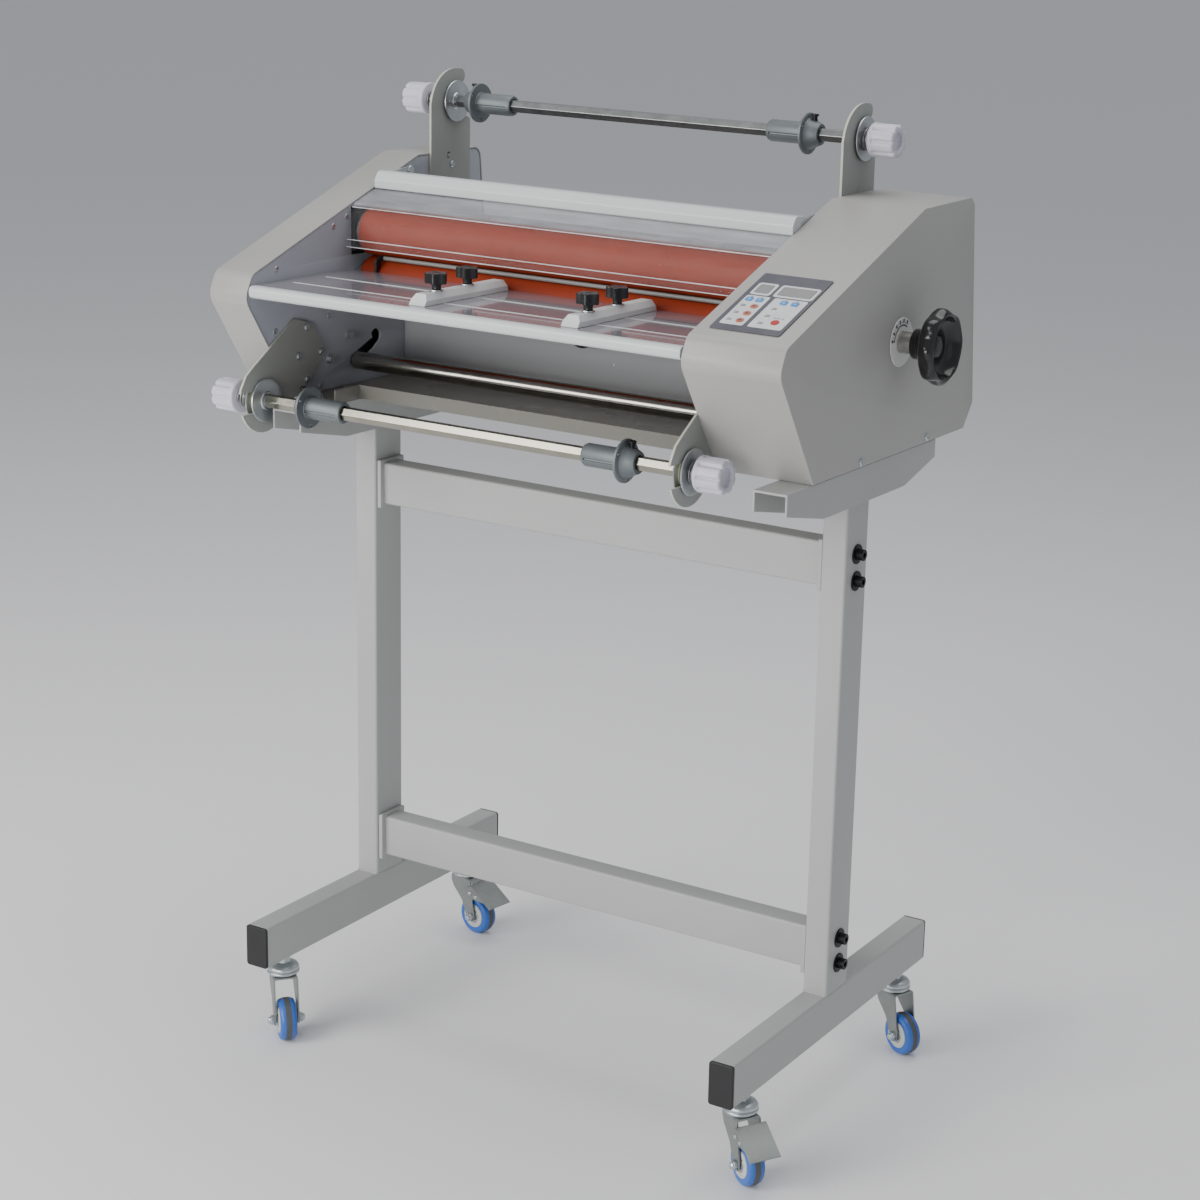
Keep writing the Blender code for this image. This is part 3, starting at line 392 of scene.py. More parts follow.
# --- End caps of the foot beams -------------------------------------------------------
# Moulded black plastic plugs, pressed into the open ends: a domed face over a short ribbed stem.
def moulded_skin_group():
    """Moulded plastic: a fine spark-eroded grain, faint swirls in the gloss, and handling smudges."""
    group = new_group("moulded skin",
                      [("Colour", "NodeSocketColor", (0.1, 0.1, 0.1, 1.0)),
                       ("Grain", "NodeSocketFloat", 1500.0),
                       ("Gloss Floor", "NodeSocketFloat", 0.35),
                       ("Smudge", "NodeSocketFloat", 0.12)],
                      [("Colour", "NodeSocketColor"), ("Roughness", "NodeSocketFloat"),
                       ("Height", "NodeSocketFloat")])
    given = group.nodes.new("NodeGroupInput")
    place = object_coordinates(group)
    grain = noise(group, place, given.outputs["Grain"], 2.0, 0.6)
    swirl = noise(group, place, 38.0, 4.0, 0.55)
    patch = remap(group, swirl, 0.42, 0.66, 0.0, 1.0)
    rough = maths(group, "ADD", given.outputs["Gloss Floor"],
                  maths(group, "MULTIPLY", patch, given.outputs["Smudge"]))
    shade = maths(group, "ADD", remap(group, swirl, 0.3, 0.7, 0.94, 1.06),
                  remap(group, grain, 0.3, 0.7, -0.03, 0.03))
    result = group.nodes.new("NodeGroupOutput")
    group.links.new(brightened(group, given.outputs["Colour"], shade), result.inputs["Colour"])
    group.links.new(rough, result.inputs["Roughness"])
    group.links.new(grain, result.inputs["Height"])
    return group


MOULDED_SKIN = moulded_skin_group()
CAP_BLACK = surfaced("black cap plastic", MOULDED_SKIN, (0.012, 0.012, 0.013),
                     {"Grain": 1300.0, "Gloss Floor": 0.42, "Smudge": 0.15}, (0.3, 0.0002))

for side, word in ((-1, "left"), (1, "right")):
    for end, place_word in ((-1, "front"), (1, "rear")):
        leg_x = side * (STAND_HALF - TUBE_W / 2)
        face, back = sorted((end * BEAM_HALF, end * (BEAM_HALF + 0.0035)))
        cap = pushed(f"{word}_{place_word}_cap", round_rect((leg_x, BEAM_MIDDLE), TUBE_W, TUBE_H, 0.0034),
                     "Y",
                     face, back, CAP_BLACK)
        eased(cap, 0.0012, 3)
        settle(cap, "frame", "black_plastic")
        low, high = sorted((end * (BEAM_HALF - 0.012), end * (BEAM_HALF - 0.0002)))
        stem = pushed(f"{word}_{place_word}_cap_stem",
                      round_rect((leg_x, BEAM_MIDDLE), TUBE_W - 0.0046, TUBE_H - 0.0046, 0.001), "Y",
                      low, high, CAP_BLACK)
        settle(eased(stem, 0.0008), "frame", "black_plastic")


# --- Crossbar bolts -------------------------------------------------------------------
# Black socket-head screws on wide black washers, two at each end of each crossbar,
# driven through the post from outside.
def worked_metal_group():
    """Bare or plated metal: fine lines along one direction, clouded plating, and small scratches."""
    group = new_group("worked metal",
                      [("Colour", "NodeSocketColor", (0.5, 0.5, 0.5, 1.0)),
                       ("Stretch", "NodeSocketVector", (1.0, 1.0, 1.0)),
                       ("Gloss Floor", "NodeSocketFloat", 0.2),
                       ("Cloud", "NodeSocketFloat", 0.12)],
                      [("Colour", "NodeSocketColor"), ("Roughness", "NodeSocketFloat"),
                       ("Height", "NodeSocketFloat")])
    given = group.nodes.new("NodeGroupInput")
    place = object_coordinates(group)
    stretched = group.nodes.new("ShaderNodeVectorMath")
    stretched.operation = "MULTIPLY"
    group.links.new(place, stretched.inputs[0])
    group.links.new(given.outputs["Stretch"], stretched.inputs[1])
    lines = noise(group, stretched.outputs["Vector"], 420.0, 3.0, 0.6)
    cloud = noise(group, place, 55.0, 4.0, 0.6)
    rough = maths(group, "ADD", given.outputs["Gloss Floor"],
                  maths(group, "MULTIPLY", maths(group, "ADD", cloud, lines), given.outputs["Cloud"]))
    shade = maths(group, "ADD", remap(group, cloud, 0.3, 0.7, 0.90, 1.06),
                  remap(group, lines, 0.3, 0.7, -0.05, 0.05))
    result = group.nodes.new("NodeGroupOutput")
    group.links.new(brightened(group, given.outputs["Colour"], shade), result.inputs["Colour"])
    group.links.new(rough, result.inputs["Roughness"])
    group.links.new(lines, result.inputs["Height"])
    return group


WORKED_METAL = worked_metal_group()
BOLT_BLACK = surfaced("blackened bolt steel", WORKED_METAL, (0.018, 0.018, 0.02),
                      {"Gloss Floor": 0.28, "Cloud": 0.15}, (0.15, 0.0001), 0.7)
ZINC = surfaced("clear zinc plating", WORKED_METAL, (0.56, 0.60, 0.62),
                {"Gloss Floor": 0.18, "Cloud": 0.16}, (0.12, 0.0001), 0.95)


def fastener_tree():
    """Geometry Nodes: a copy of one fastener at each point, facing along that point's own direction."""
    tree = bpy.data.node_groups.new("fasteners", "GeometryNodeTree")
    tree.interface.new_socket("Points", in_out="INPUT", socket_type="NodeSocketGeometry")
    tree.interface.new_socket("Fastener", in_out="INPUT", socket_type="NodeSocketObject")
    tree.interface.new_socket("Size", in_out="INPUT", socket_type="NodeSocketFloat").default_value = 1.0
    tree.interface.new_socket("Finish", in_out="INPUT", socket_type="NodeSocketMaterial")
    tree.interface.new_socket("Fasteners", in_out="OUTPUT", socket_type="NodeSocketGeometry")
    given = tree.nodes.new("NodeGroupInput")
    result = tree.nodes.new("NodeGroupOutput")
    facing = tree.nodes.new("GeometryNodeInputNamedAttribute")
    facing.data_type = "FLOAT_VECTOR"
    facing.inputs["Name"].default_value = "facing"
    spin = tree.nodes.new("FunctionNodeRandomValue")
    spin.inputs["Min"].default_value = 0.0
    spin.inputs["Max"].default_value = math.tau
    spin.inputs["Seed"].default_value = 7
    driven = tree.nodes.new("ShaderNodeCombineXYZ")
    tree.links.new(spin.outputs["Value"], driven.inputs["Z"])
    turned = tree.nodes.new("FunctionNodeEulerToRotation")
    tree.links.new(driven.outputs["Vector"], turned.inputs["Euler"])
    align = tree.nodes.new("FunctionNodeAlignRotationToVector")
    align.axis = "Z"
    tree.links.new(facing.outputs["Attribute"], align.inputs["Vector"])
    combined = tree.nodes.new("FunctionNodeRotateRotation")
    combined.rotation_space = "LOCAL"
    tree.links.new(align.outputs["Rotation"], combined.inputs["Rotation"])
    tree.links.new(turned.outputs["Rotation"], combined.inputs["Rotate By"])
    shape = tree.nodes.new("GeometryNodeObjectInfo")
    tree.links.new(given.outputs["Fastener"], shape.inputs["Object"])
    copies = tree.nodes.new("GeometryNodeInstanceOnPoints")
    tree.links.new(given.outputs["Points"], copies.inputs["Points"])
    tree.links.new(shape.outputs["Geometry"], copies.inputs["Instance"])
    tree.links.new(combined.outputs["Rotation"], copies.inputs["Rotation"])
    tree.links.new(given.outputs["Size"], copies.inputs["Scale"])
    real = tree.nodes.new("GeometryNodeRealizeInstances")
    tree.links.new(copies.outputs["Instances"], real.inputs["Geometry"])
    painted = tree.nodes.new("GeometryNodeSetMaterial")
    tree.links.new(real.outputs["Geometry"], painted.inputs["Geometry"])
    tree.links.new(given.outputs["Finish"], painted.inputs["Material"])
    tree.links.new(painted.outputs["Geometry"], result.inputs["Fasteners"])
    return tree


FASTENERS = fastener_tree()


def set_input(step, label, value):
    """Give a Geometry Nodes modifier one of its named inputs, by the socket's identifier."""
    for socket in step.node_group.interface.items_tree:
        if socket.name == label and socket.in_out == "INPUT":
            step[socket.identifier] = value


def fastened(name, pattern, spots, material, body, slot, size=1.0, place=None):
    """Copies of a fastener at (place, direction) spots, as one piece on one body."""
    mesh = bpy.data.meshes.new(name)
    mesh.from_pydata([spot[0] for spot in spots], [], [])
    facing = mesh.attributes.new("facing", "FLOAT_VECTOR", "POINT")
    for index, spot in enumerate(spots):
        facing.data[index].vector = spot[1]
    mesh.materials.append(material)
    piece = bpy.data.objects.new(name, mesh)
    bpy.context.collection.objects.link(piece)
    step = piece.modifiers.new("fasteners", "NODES")
    step.node_group = FASTENERS
    set_input(step, "Fastener", pattern)
    set_input(step, "Size", size)
    set_input(step, "Finish", material)
    settle(piece, body, slot, place=place)
    return piece


def pattern_of(piece):
    """Finish a fastener's own shape and keep it out of sight, as the pattern for its copies."""
    piece.data = baked_mesh(piece)
    piece.modifiers.clear()
    piece.hide_render = True
    return piece


def lathed(name, profile, axis, centre, steps, material, closed=False):
    """A profile of (radius, place along the axis) points spun about an axis line."""
    across, up = centre
    bm = bmesh.new()
    verts = [bm.verts.new(placed(axis, along, across + radius, up)) for radius, along in profile]
    pairs = list(zip(verts, verts[1:])) + ([(verts[-1], verts[0])] if closed else [])
    edges = [bm.edges.new(pair) for pair in pairs]
    bmesh.ops.spin(bm, geom=verts + edges, cent=placed(axis, 0.0, across, up),
                   axis=placed(axis, 1.0, 0.0, 0.0), angle=math.tau, steps=steps)
    return as_piece(name, bm, material)


def block(name, low, high, material):
    """A plain block, to be rounded or joined to others."""
    outline = [(low[0], low[1]), (high[0], low[1]), (high[0], high[1]), (low[0], high[1])]
    return pushed(name, outline, "Z", low[2], high[2], material)


def circle(centre, radius, steps, start=0.0):
    """A round outline."""
    turns = [start + math.tau * step / steps for step in range(steps)]
    return [(centre[0] + radius * math.cos(turned), centre[1] + radius * math.sin(turned))
            for turned in turns]


def boolean(piece, other, operation):
    """Weld another shape onto a piece, or cut it away, and drop that shape."""
    step = piece.modifiers.new(operation, "BOOLEAN")
    step.operation = operation
    step.object = other
    step.solver = "EXACT"
    mesh = baked_mesh(piece)
    piece.modifiers.clear()
    piece.data = mesh
    bpy.data.objects.remove(other)
    return piece


def socket_screw(radius, height):
    """Socket-head cap screw, its seat at z = 0: a knurled-look round head with a hexagon socket."""
    head = lathed("socket_screw", [(0.0, 0.0), (radius, 0.0), (radius, height), (0.0, height)], "Z", (0, 0),
                  32,
                  BOLT_BLACK)
    socket = pushed("hex_socket", circle((0, 0), radius * 0.52, 6), "Z", height * 0.45, height * 1.2,
                    BOLT_BLACK)
    return pattern_of(eased(boolean(head, socket, "DIFFERENCE"), radius * 0.10))


def washer(radius, bore, thickness, material):
    """Flat washer, its underside at z = 0."""
    ring = lathed("washer", [(bore, 0.0), (radius, 0.0), (radius, thickness), (bore, thickness)], "Z",
                  (0, 0), 40,
                  material, closed=True)
    return pattern_of(eased(ring, thickness * 0.25))


BOLT_LEVELS = (0.6570, 0.6270, 0.2120, 0.1820)
socket_pattern = socket_screw(0.0062, 0.0080)
washer_pattern = washer(0.0110, 0.0040, 0.0015, BOLT_BLACK)
for side, word in ((-1, "left"), (1, "right")):
    seats = [(Vector((side * STAND_HALF, 0.0, level)), (side, 0, 0)) for level in BOLT_LEVELS]
    heads = [(spot + Vector((side * 0.0014, 0.0, 0.0)), facing) for spot, facing in seats]
    fastened(f"{word}_bolt_washers", washer_pattern, seats, BOLT_BLACK, "frame", "black_plastic")
    fastened(f"{word}_bolt_heads", socket_pattern, heads, BOLT_BLACK, "frame", "black_plastic")


# --- Casters --------------------------------------------------------------------------
# Pressed zinc forks with a double ball race, 50 mm wheels with a blue tyre, a grey tread band
# and a white hub, turning on an axle bolt with a domed nut. Two of the four have a brake pedal.
WHEEL_R = 0.025
TRAIL = 0.020
FORK_IN = 0.0125
FORK_OUT = 0.0145
CASTER_X = STAND_HALF - TUBE_W / 2
CASTER_Y = 0.182
CASTERS = {
    "front_left": (-1, -1, -41.0, False),
    "rear_left": (-1, 1, -10.0, True),
    "front_right": (1, -1, -33.0, True),
    "rear_right": (1, 1, -25.0, False),
}
FORK_ZINC = surfaced("dull zinc pressing", WORKED_METAL, (0.30, 0.32, 0.31),
                     {"Gloss Floor": 0.26, "Cloud": 0.18}, (0.15, 0.0001), 0.85)
TYRE_BLUE = surfaced("blue tyre", MOULDED_SKIN, (0.035, 0.13, 0.50),
                     {"Grain": 900.0, "Gloss Floor": 0.30, "Smudge": 0.18}, (0.15, 0.0002))
TREAD_GREY = surfaced("grey tread band", MOULDED_SKIN, (0.085, 0.087, 0.088),
                      {"Grain": 800.0, "Gloss Floor": 0.55, "Smudge": 0.2}, (0.4, 0.0003))
HUB_WHITE = surfaced("white hub nylon", MOULDED_SKIN, (0.55, 0.55, 0.53),
                     {"Grain": 900.0, "Gloss Floor": 0.35, "Smudge": 0.2}, (0.15, 0.0002))
AXLE_Z = WHEEL_R


def acorn_nut(name, side):
    """Domed nut at the end of an axle bolt."""
    start = side * (FORK_OUT + 0.0002)
    flats = pushed(name, circle((TRAIL, AXLE_Z), 0.0058, 6), "Y", *sorted((start, start + side * 0.0035)),
                   ZINC)
    dome = lathed(f"{name}_dome", [(0.0, start + side * 0.0030), (0.0046, start + side * 0.0030),
                                   (0.0043, start + side * 0.0050), (0.0030, start + side * 0.0066),
                                   (0.0, start + side * 0.0073)], "Y", (TRAIL, AXLE_Z), 24, ZINC)
    return eased(boolean(flats, dome, "UNION"), 0.0003)


for word, (side, end, heading, braked) in CASTERS.items():
    stem = HOME + Vector((side * CASTER_X, end * CASTER_Y, 0.0))
    spot = Matrix.Translation(stem) @ Matrix.Rotation(math.radians(heading), 4, "Z")
    swivel = f"caster_{word}"
    section = round_rect((0.0, 0.0445), 2 * FORK_OUT, 0.063, 0.0030, 4)
    fork = pushed(f"fork_{word}", section, "X", -0.0165, 0.0300, FORK_ZINC)
    space = pushed("fork space", round_rect((0.0, 0.0300), 2 * FORK_IN, 0.088, 0.0012, 3), "X", -0.05, 0.05,
                   FORK_ZINC)
    boolean(fork, space, "DIFFERENCE")
    side_view = [(-0.0160, 0.0770), (0.0185, 0.0770), (0.0205, 0.0620), (0.0262, 0.0290), (0.0268, 0.0240),
                 (0.0250, 0.0195), (0.0205, 0.0178), (0.0160, 0.0190), (0.0130, 0.0225), (0.0040, 0.0440),
                 (-0.0120, 0.0600), (-0.0160, 0.0680)]
    mask = pushed("fork side view", side_view, "Y", -0.05, 0.05, FORK_ZINC)
    boolean(fork, mask, "INTERSECT")
    settle(eased(fork, 0.0004, 2, 40.0), swivel, "zinc", f"caster_fork_{word}", place=spot)
    race = [(0.0, 0.0758), (0.0150, 0.0758), (0.0176, 0.0764), (0.0190, 0.0780), (0.0190, 0.0796),
            (0.0182, 0.0806),
            (0.0172, 0.0811), (0.0182, 0.0817), (0.0187, 0.0830), (0.0183, 0.0848), (0.0165, 0.0872),
            (0.0120, 0.0890), (0.0082, 0.0898), (0.0, 0.0898)]
    settle(creased(lathed(f"race_{word}", race, "Z", (0, 0), 48, ZINC), 50.0), swivel, "zinc", place=spot)
    nut = pushed(f"stem_nut_{word}", circle((0, 0), 0.0085, 6), "Z", 0.0898, 0.0962, ZINC)
    stud = lathed("stud", [(0.0, 0.0890), (0.0055, 0.0890), (0.0055, 0.0997), (0.0, 0.0997)], "Z", (0, 0),
                  24, ZINC)
    settle(eased(boolean(nut, stud, "UNION"), 0.0004), swivel, "zinc", place=spot)
    for nut_side in (-1, 1):
        settle(acorn_nut(f"axle_nut_{word}_{'in' if nut_side < 0 else 'out'}", nut_side), swivel, "zinc",
               place=spot)

    wheel_body = f"wheel_{word}"
    centre = (TRAIL, AXLE_Z)
    tyre = [(0.0155, -0.0090), (0.0190, -0.0098), (0.0218, -0.0096), (0.0236, -0.0082), (0.0246, -0.0058),
            (0.02485, -0.0036), (0.02485, 0.0036), (0.0246, 0.0058), (0.0236, 0.0082), (0.0218, 0.0096),
            (0.0190, 0.0098), (0.0155, 0.0090)]
    settle(creased(lathed(f"tyre_{word}", tyre, "Y", centre, 72, TYRE_BLUE, closed=True), 50.0), wheel_body,
           "wheel_blue", f"caster_wheel_{word}", place=spot)
    band = [(0.0235, -0.0034), (0.02497, -0.0034), (0.02500, -0.0020), (0.02500, 0.0020), (0.02497, 0.0034),
            (0.0235, 0.0034)]
    settle(creased(lathed(f"tread_{word}", band, "Y", centre, 72, TREAD_GREY, closed=True)), wheel_body,
           "wheel_blue", place=spot)
    hub = [(0.0088, -0.0094), (0.0096, -0.0104), (0.0150, -0.0104), (0.0160, -0.0096), (0.0160, 0.0096),
           (0.0150, 0.0104), (0.0096, 0.0104), (0.0088, 0.0094)]
    settle(creased(lathed(f"hub_{word}", hub, "Y", centre, 64, HUB_WHITE, closed=True), 50.0), wheel_body,
           "wheel_blue", place=spot)
    bearing = [(0.0045, -0.0112), (0.0070, -0.0112), (0.0072, -0.0098), (0.0087, -0.0096), (0.0087, 0.0096),
               (0.0072, 0.0098), (0.0070, 0.0112), (0.0045, 0.0112)]
    settle(creased(lathed(f"bearing_{word}", bearing, "Y", centre, 48, ZINC, closed=True)), wheel_body,
           "zinc", place=spot)
    if not braked:
        continue
    pedal_body = f"pedal_{word}"
    sole = [(0.0225, 0.0705), (0.0245, 0.0702), (0.0600, 0.0478), (0.0592, 0.0462), (0.0240, 0.0684),
            (0.0222, 0.0690)]
    pedal = pushed(f"pedal_{word}", sole, "Y", -0.0185, 0.0185, FORK_ZINC)
    for cheek_side in (-1, 1):
        low, high = sorted((cheek_side * (FORK_OUT + 0.0004), cheek_side * 0.0165))
        cheek = pushed("cheek", [(0.0135, 0.0535), (0.0250, 0.0512), (0.0500, 0.0515), (0.0535, 0.0505),
                                 (0.0240, 0.0695), (0.0145, 0.0655)], "Y", low, high, FORK_ZINC)
        boolean(pedal, cheek, "UNION")
    settle(eased(pedal, 0.0004), pedal_body, "zinc", f"brake_pedal_{word}", place=spot)
    pad = block(f"brake_pad_{word}", (0.0330, -0.0090, 0.0515), (0.0480, 0.0090, 0.0535), CAP_BLACK)
    settle(eased(pad, 0.0006), pedal_body, "black_plastic", place=spot)
    rivet = pattern_of(creased(lathed("rivet",
                                      [(0.0, -0.001), (0.0028, -0.001), (0.0028, 0.0004), (0.0018, 0.0012),
                                                (0.0, 0.0014)], "Z", (0, 0), 20, ZINC)))
    pins = [(Vector((x, cheek_side * 0.0166, z)), (0, cheek_side, 0)) for cheek_side in (-1, 1)
            for x, z in ((0.0200, 0.0580), (0.0310, 0.0560))]
    fastened(f"pedal_rivets_{word}", rivet, pins, ZINC, pedal_body, "zinc", place=spot)


# --- Base channels --------------------------------------------------------------------
# Two inverted channels of folded 2.5 mm sheet on the posts, open at the front and back ends,
# with flanges that are deepest round the post. Powder coated like the stand.
def shelled(name, outline, axis, start, end, hollows, material):
    """A solid from an outline with blocks taken out of it."""
    piece = pushed(name, outline, axis, start, end, material)
    for low, high in hollows:
        boolean(piece, block("hollow", low, high, material), "DIFFERENCE")
    return piece


CHANNEL_OUT = 0.3330
CHANNEL_W = 0.0405
CHANNEL_TOP = 0.7540
CHANNEL_SHEET = 0.0025
channel_side = [(-0.1650, CHANNEL_TOP), (-0.1650, 0.7310), (-0.0845, 0.7133), (0.1020, 0.7133),
                (0.1760, 0.7332), (0.1760, CHANNEL_TOP)]
for side, word in ((-1, "left"), (1, "right")):
    low_x, high_x = sorted((side * CHANNEL_OUT, side * (CHANNEL_OUT - CHANNEL_W)))
    channel = shelled(f"{word}_channel", channel_side, "X", low_x, high_x,
                      [((low_x + CHANNEL_SHEET, -0.2, 0.69),
                        (high_x - CHANNEL_SHEET, 0.2, CHANNEL_TOP - CHANNEL_SHEET))],
                      STAND_GREY)
    settle(eased(channel, 0.0007, 3), "frame", "stand_grey", f"{word}_base_channel")


# --- Base pan -------------------------------------------------------------------------
# The head's floor: one darker sheet with a raised lip along the front, a second crease behind it,
# and an ear over the left channel whose lip turns up.
PLATE_LEFT = -0.3470
PLATE_RIGHT = 0.2195
COVER_LEFT = -0.3996
COVER_RIGHT = 0.3345
PAN_BOTTOM = CHANNEL_TOP + 0.0003
PAN_TOP = PAN_BOTTOM + 0.0020
PAN_FRONT = -0.0620
PAN_LIP = 0.0160
PLATE_FOOT = PAN_TOP + 0.0003
PAN_COAT = surfaced("pan powder coat", POWDER_COAT, (0.17, 0.165, 0.145),
                    {"Grain": 520.0, "Gloss Floor": 0.22, "Fleck": 0.05}, (0.18, 0.0003))
lip_x = -CHANNEL_OUT + CHANNEL_W
pan = block("base_pan_sheet", (PLATE_LEFT - 0.030, PAN_FRONT, PAN_BOTTOM),
            (COVER_RIGHT - 0.006, 0.2300, PAN_TOP), PAN_COAT)
for low, high in (((lip_x, PAN_FRONT, PAN_BOTTOM),
                   (PLATE_RIGHT - 0.002, PAN_FRONT + 0.002, PAN_BOTTOM + PAN_LIP)),
                  ((PLATE_LEFT - 0.030, -0.1050, PAN_BOTTOM), (lip_x, PAN_FRONT + 0.0005, PAN_TOP)),
                  ((lip_x - 0.002, -0.1050, PAN_BOTTOM), (lip_x, PAN_FRONT + 0.0005, PAN_BOTTOM + PAN_LIP))):
    boolean(pan, block("pan fold", low, high, PAN_COAT), "UNION")
settle(eased(pan, 0.0006, 3), "frame", "stand_grey", "base_pan")
step_section = [(-0.0320, PAN_TOP - 0.0002), (-0.0312, PAN_TOP + 0.0020), (-0.0250, PAN_TOP + 0.0022),
                (-0.0236, PAN_TOP - 0.0002)]
crease = pushed("base_pan_crease", step_section, "X", PLATE_LEFT + 0.004, PLATE_RIGHT - 0.004, PAN_COAT)
settle(eased(crease, 0.0006), "frame", "stand_grey")


# --- Frame plates ---------------------------------------------------------------------
# Two 3 mm steel plates, slightly blue grey, that carry every shaft. Each has the sliding window
# of the upper roller, the bores, the hooked slot of the idler tube, and the fixings seen inside.
def rounded(corners, steps=4):
    """An outline whose (x, y, radius) corners are rounded by arcs."""
    outline = []
    count = len(corners)
    for index, (x, y, radius) in enumerate(corners):
        here = Vector((x, y))
        if radius == 0.0:
            outline.append((x, y))
            continue
        before = Vector(corners[index - 1][:2]) - here
        after = Vector(corners[(index + 1) % count][:2]) - here
        half = before.angle(after) / 2
        middle = here + (before.normalized() + after.normalized()).normalized() * radius / math.sin(half)
        first = here + before.normalized() * radius / math.tan(half) - middle
        last = here + after.normalized() * radius / math.tan(half) - middle
        sweep = first.angle_signed(last)
        for step in range(steps + 1):
            point = middle + Matrix.Rotation(-sweep * step / steps, 2) @ first
            outline.append((point.x, point.y))
    return outline


def inset(outline, distance):
    """The outline moved inwards by a distance, its corners mitred."""
    count = len(outline)
    area = sum(outline[i - 1][0] * outline[i][1] - outline[i][0] * outline[i - 1][1] for i in range(count))
    inwards = 1.0 if area > 0 else -1.0
    moved = []
    for index in range(count):
        here = Vector(outline[index])
        back = (here - Vector(outline[index - 1])).normalized()
        ahead = (Vector(outline[(index + 1) % count]) - here).normalized()
        normal_back = Vector((-back.y, back.x)) * inwards
        normal_ahead = Vector((-ahead.y, ahead.x)) * inwards
        mitre = (normal_back + normal_ahead).normalized()
        point = here + mitre * distance / mitre.dot(normal_back)
        moved.append((point.x, point.y))
    return moved


def arc(centre, radius, start, end, steps):
    """Points on an arc, with its angles in degrees."""
    turns = [math.radians(start + (end - start) * step / steps) for step in range(steps + 1)]
    return [(centre[0] + radius * math.cos(turned), centre[1] + radius * math.sin(turned))
            for turned in turns]


def capsule(first, last, radius, steps=12):
    """A slot outline: two half rounds about two points."""
    along = math.degrees(math.atan2(last[1] - first[1], last[0] - first[0]))
    return arc(last, radius, along - 90, along + 90, steps) + arc(first, radius, along + 90, along + 270,
                                                                  steps)


def sheet_cut(name, outline, holes, axis, start, end, highlight, material):
    """A flat plate cut from sheet, with holes, and every cut edge rounded by a small radius."""
    curve = bpy.data.curves.new(name, "CURVE")
    curve.dimensions = "2D"
    curve.fill_mode = "BOTH"
    curve.extrude = (end - start) / 2 - highlight
    curve.bevel_depth = highlight
    curve.bevel_resolution = 2
    curve.offset = -highlight
    for points in (outline, *holes):
        spline = curve.splines.new("POLY")
        spline.points.add(len(points) - 1)
        for knot, point in zip(spline.points, points):
            knot.co = (*point, 0.0, 1.0)
        spline.use_cyclic_u = True
    drawn = bpy.data.objects.new(name, curve)
    bpy.context.collection.objects.link(drawn)
    mesh = baked_mesh(drawn)
    bpy.data.objects.remove(drawn)
    bm = bmesh.new()
    bm.from_mesh(mesh)
    for vert in bm.verts:
        vert.co = placed(axis, (start + end) / 2 + vert.co.z, vert.co.x, vert.co.y)
    return creased(as_piece(name, bm, material), 50.0)


PLATE_T = 0.0030
COVER_BOTTOM = 0.7545
ROLL_Y = 0.0160
ROLL_R = 0.0280
NIP_Z = 0.9090
JOURNAL_R = 0.0100
PULL_Y = 0.1600
PULL_R = 0.0200
IDLER = (-0.0040, 0.7850)
IDLER_R = 0.0065
SHAFT_Y = 0.0717
SHAFT_Z = 0.8786
SHAFT_R = 0.0080
GUARD_Y = 0.0990
GUARD_Z = 1.0010
GUARD_PIN_R = 0.0035
PLATE_COAT = surfaced("plate blue grey", POWDER_COAT, (0.36, 0.385, 0.43),
                      {"Grain": 800.0, "Gloss Floor": 0.40, "Fleck": 0.05}, (0.2, 0.0003))
cover_side = rounded([(-0.1130, COVER_BOTTOM, 0.0), (-0.1930, 0.8790, 0.0200), (-0.1800, 0.9055, 0.0160),
                      (0.1170, 1.0180, 0.0), (0.2420, 1.0205, 0.0140), (0.2670, 0.7820, 0.0),
                      (0.2450, COVER_BOTTOM, 0.0)], 10)
plate_holes = [circle((ROLL_Y, NIP_Z - ROLL_R), JOURNAL_R + 0.0006, 32),
               circle((PULL_Y, NIP_Z + PULL_R), SHAFT_R + 0.0006, 32),
               circle((PULL_Y, NIP_Z - PULL_R), SHAFT_R + 0.0006, 32),
               circle((SHAFT_Y, SHAFT_Z), SHAFT_R + 0.0006, 32),
               circle((GUARD_Y, GUARD_Z), GUARD_PIN_R + 0.0006, 24),
               round_rect((ROLL_Y, NIP_Z + 0.02925), 0.0480, 0.0565, 0.0015)]
hook_r = IDLER_R + 0.0007
plate_holes.append(arc(IDLER, hook_r, 115.0, 295.0, 16) + [(0.0330, 0.7942)] + arc((0.0360, 0.8080), 0.0092,
                                                                                   -75.0, 150.0, 20)
                   + [(0.0285, 0.8098), (0.0300, 0.8060), (0.0275, 0.8065)])
for side, word, face_x in ((-1, "left", PLATE_LEFT), (1, "right", PLATE_RIGHT)):
    low_x, high_x = sorted((face_x, face_x + side * PLATE_T))
    plate = sheet_cut(f"{word}_plate", inset(cover_side, 0.0021), plate_holes, "X", low_x, high_x, 0.0003,
                      PLATE_COAT)
    settle(plate, "frame", "plate_grey", f"{word}_frame_plate")


def countersunk_screw(radius):
    """Countersunk cross-recess screw, its face nearly flush at z = 0."""
    head = lathed("countersunk_screw", [(0.0, -0.0006), (radius, -0.0006), (radius, 0.0001),
                                        (radius * 0.9, 0.0005),
                                        (0.0, 0.0008)], "Z", (0, 0), 32, ZINC)
    for across, up in ((radius * 0.6, radius * 0.13), (radius * 0.13, radius * 0.6)):
        recess = block("recess", (-across, -up, 0.0001), (across, up, 0.002), ZINC)
        boolean(head, recess, "DIFFERENCE")
    return pattern_of(eased(head, 0.0001))


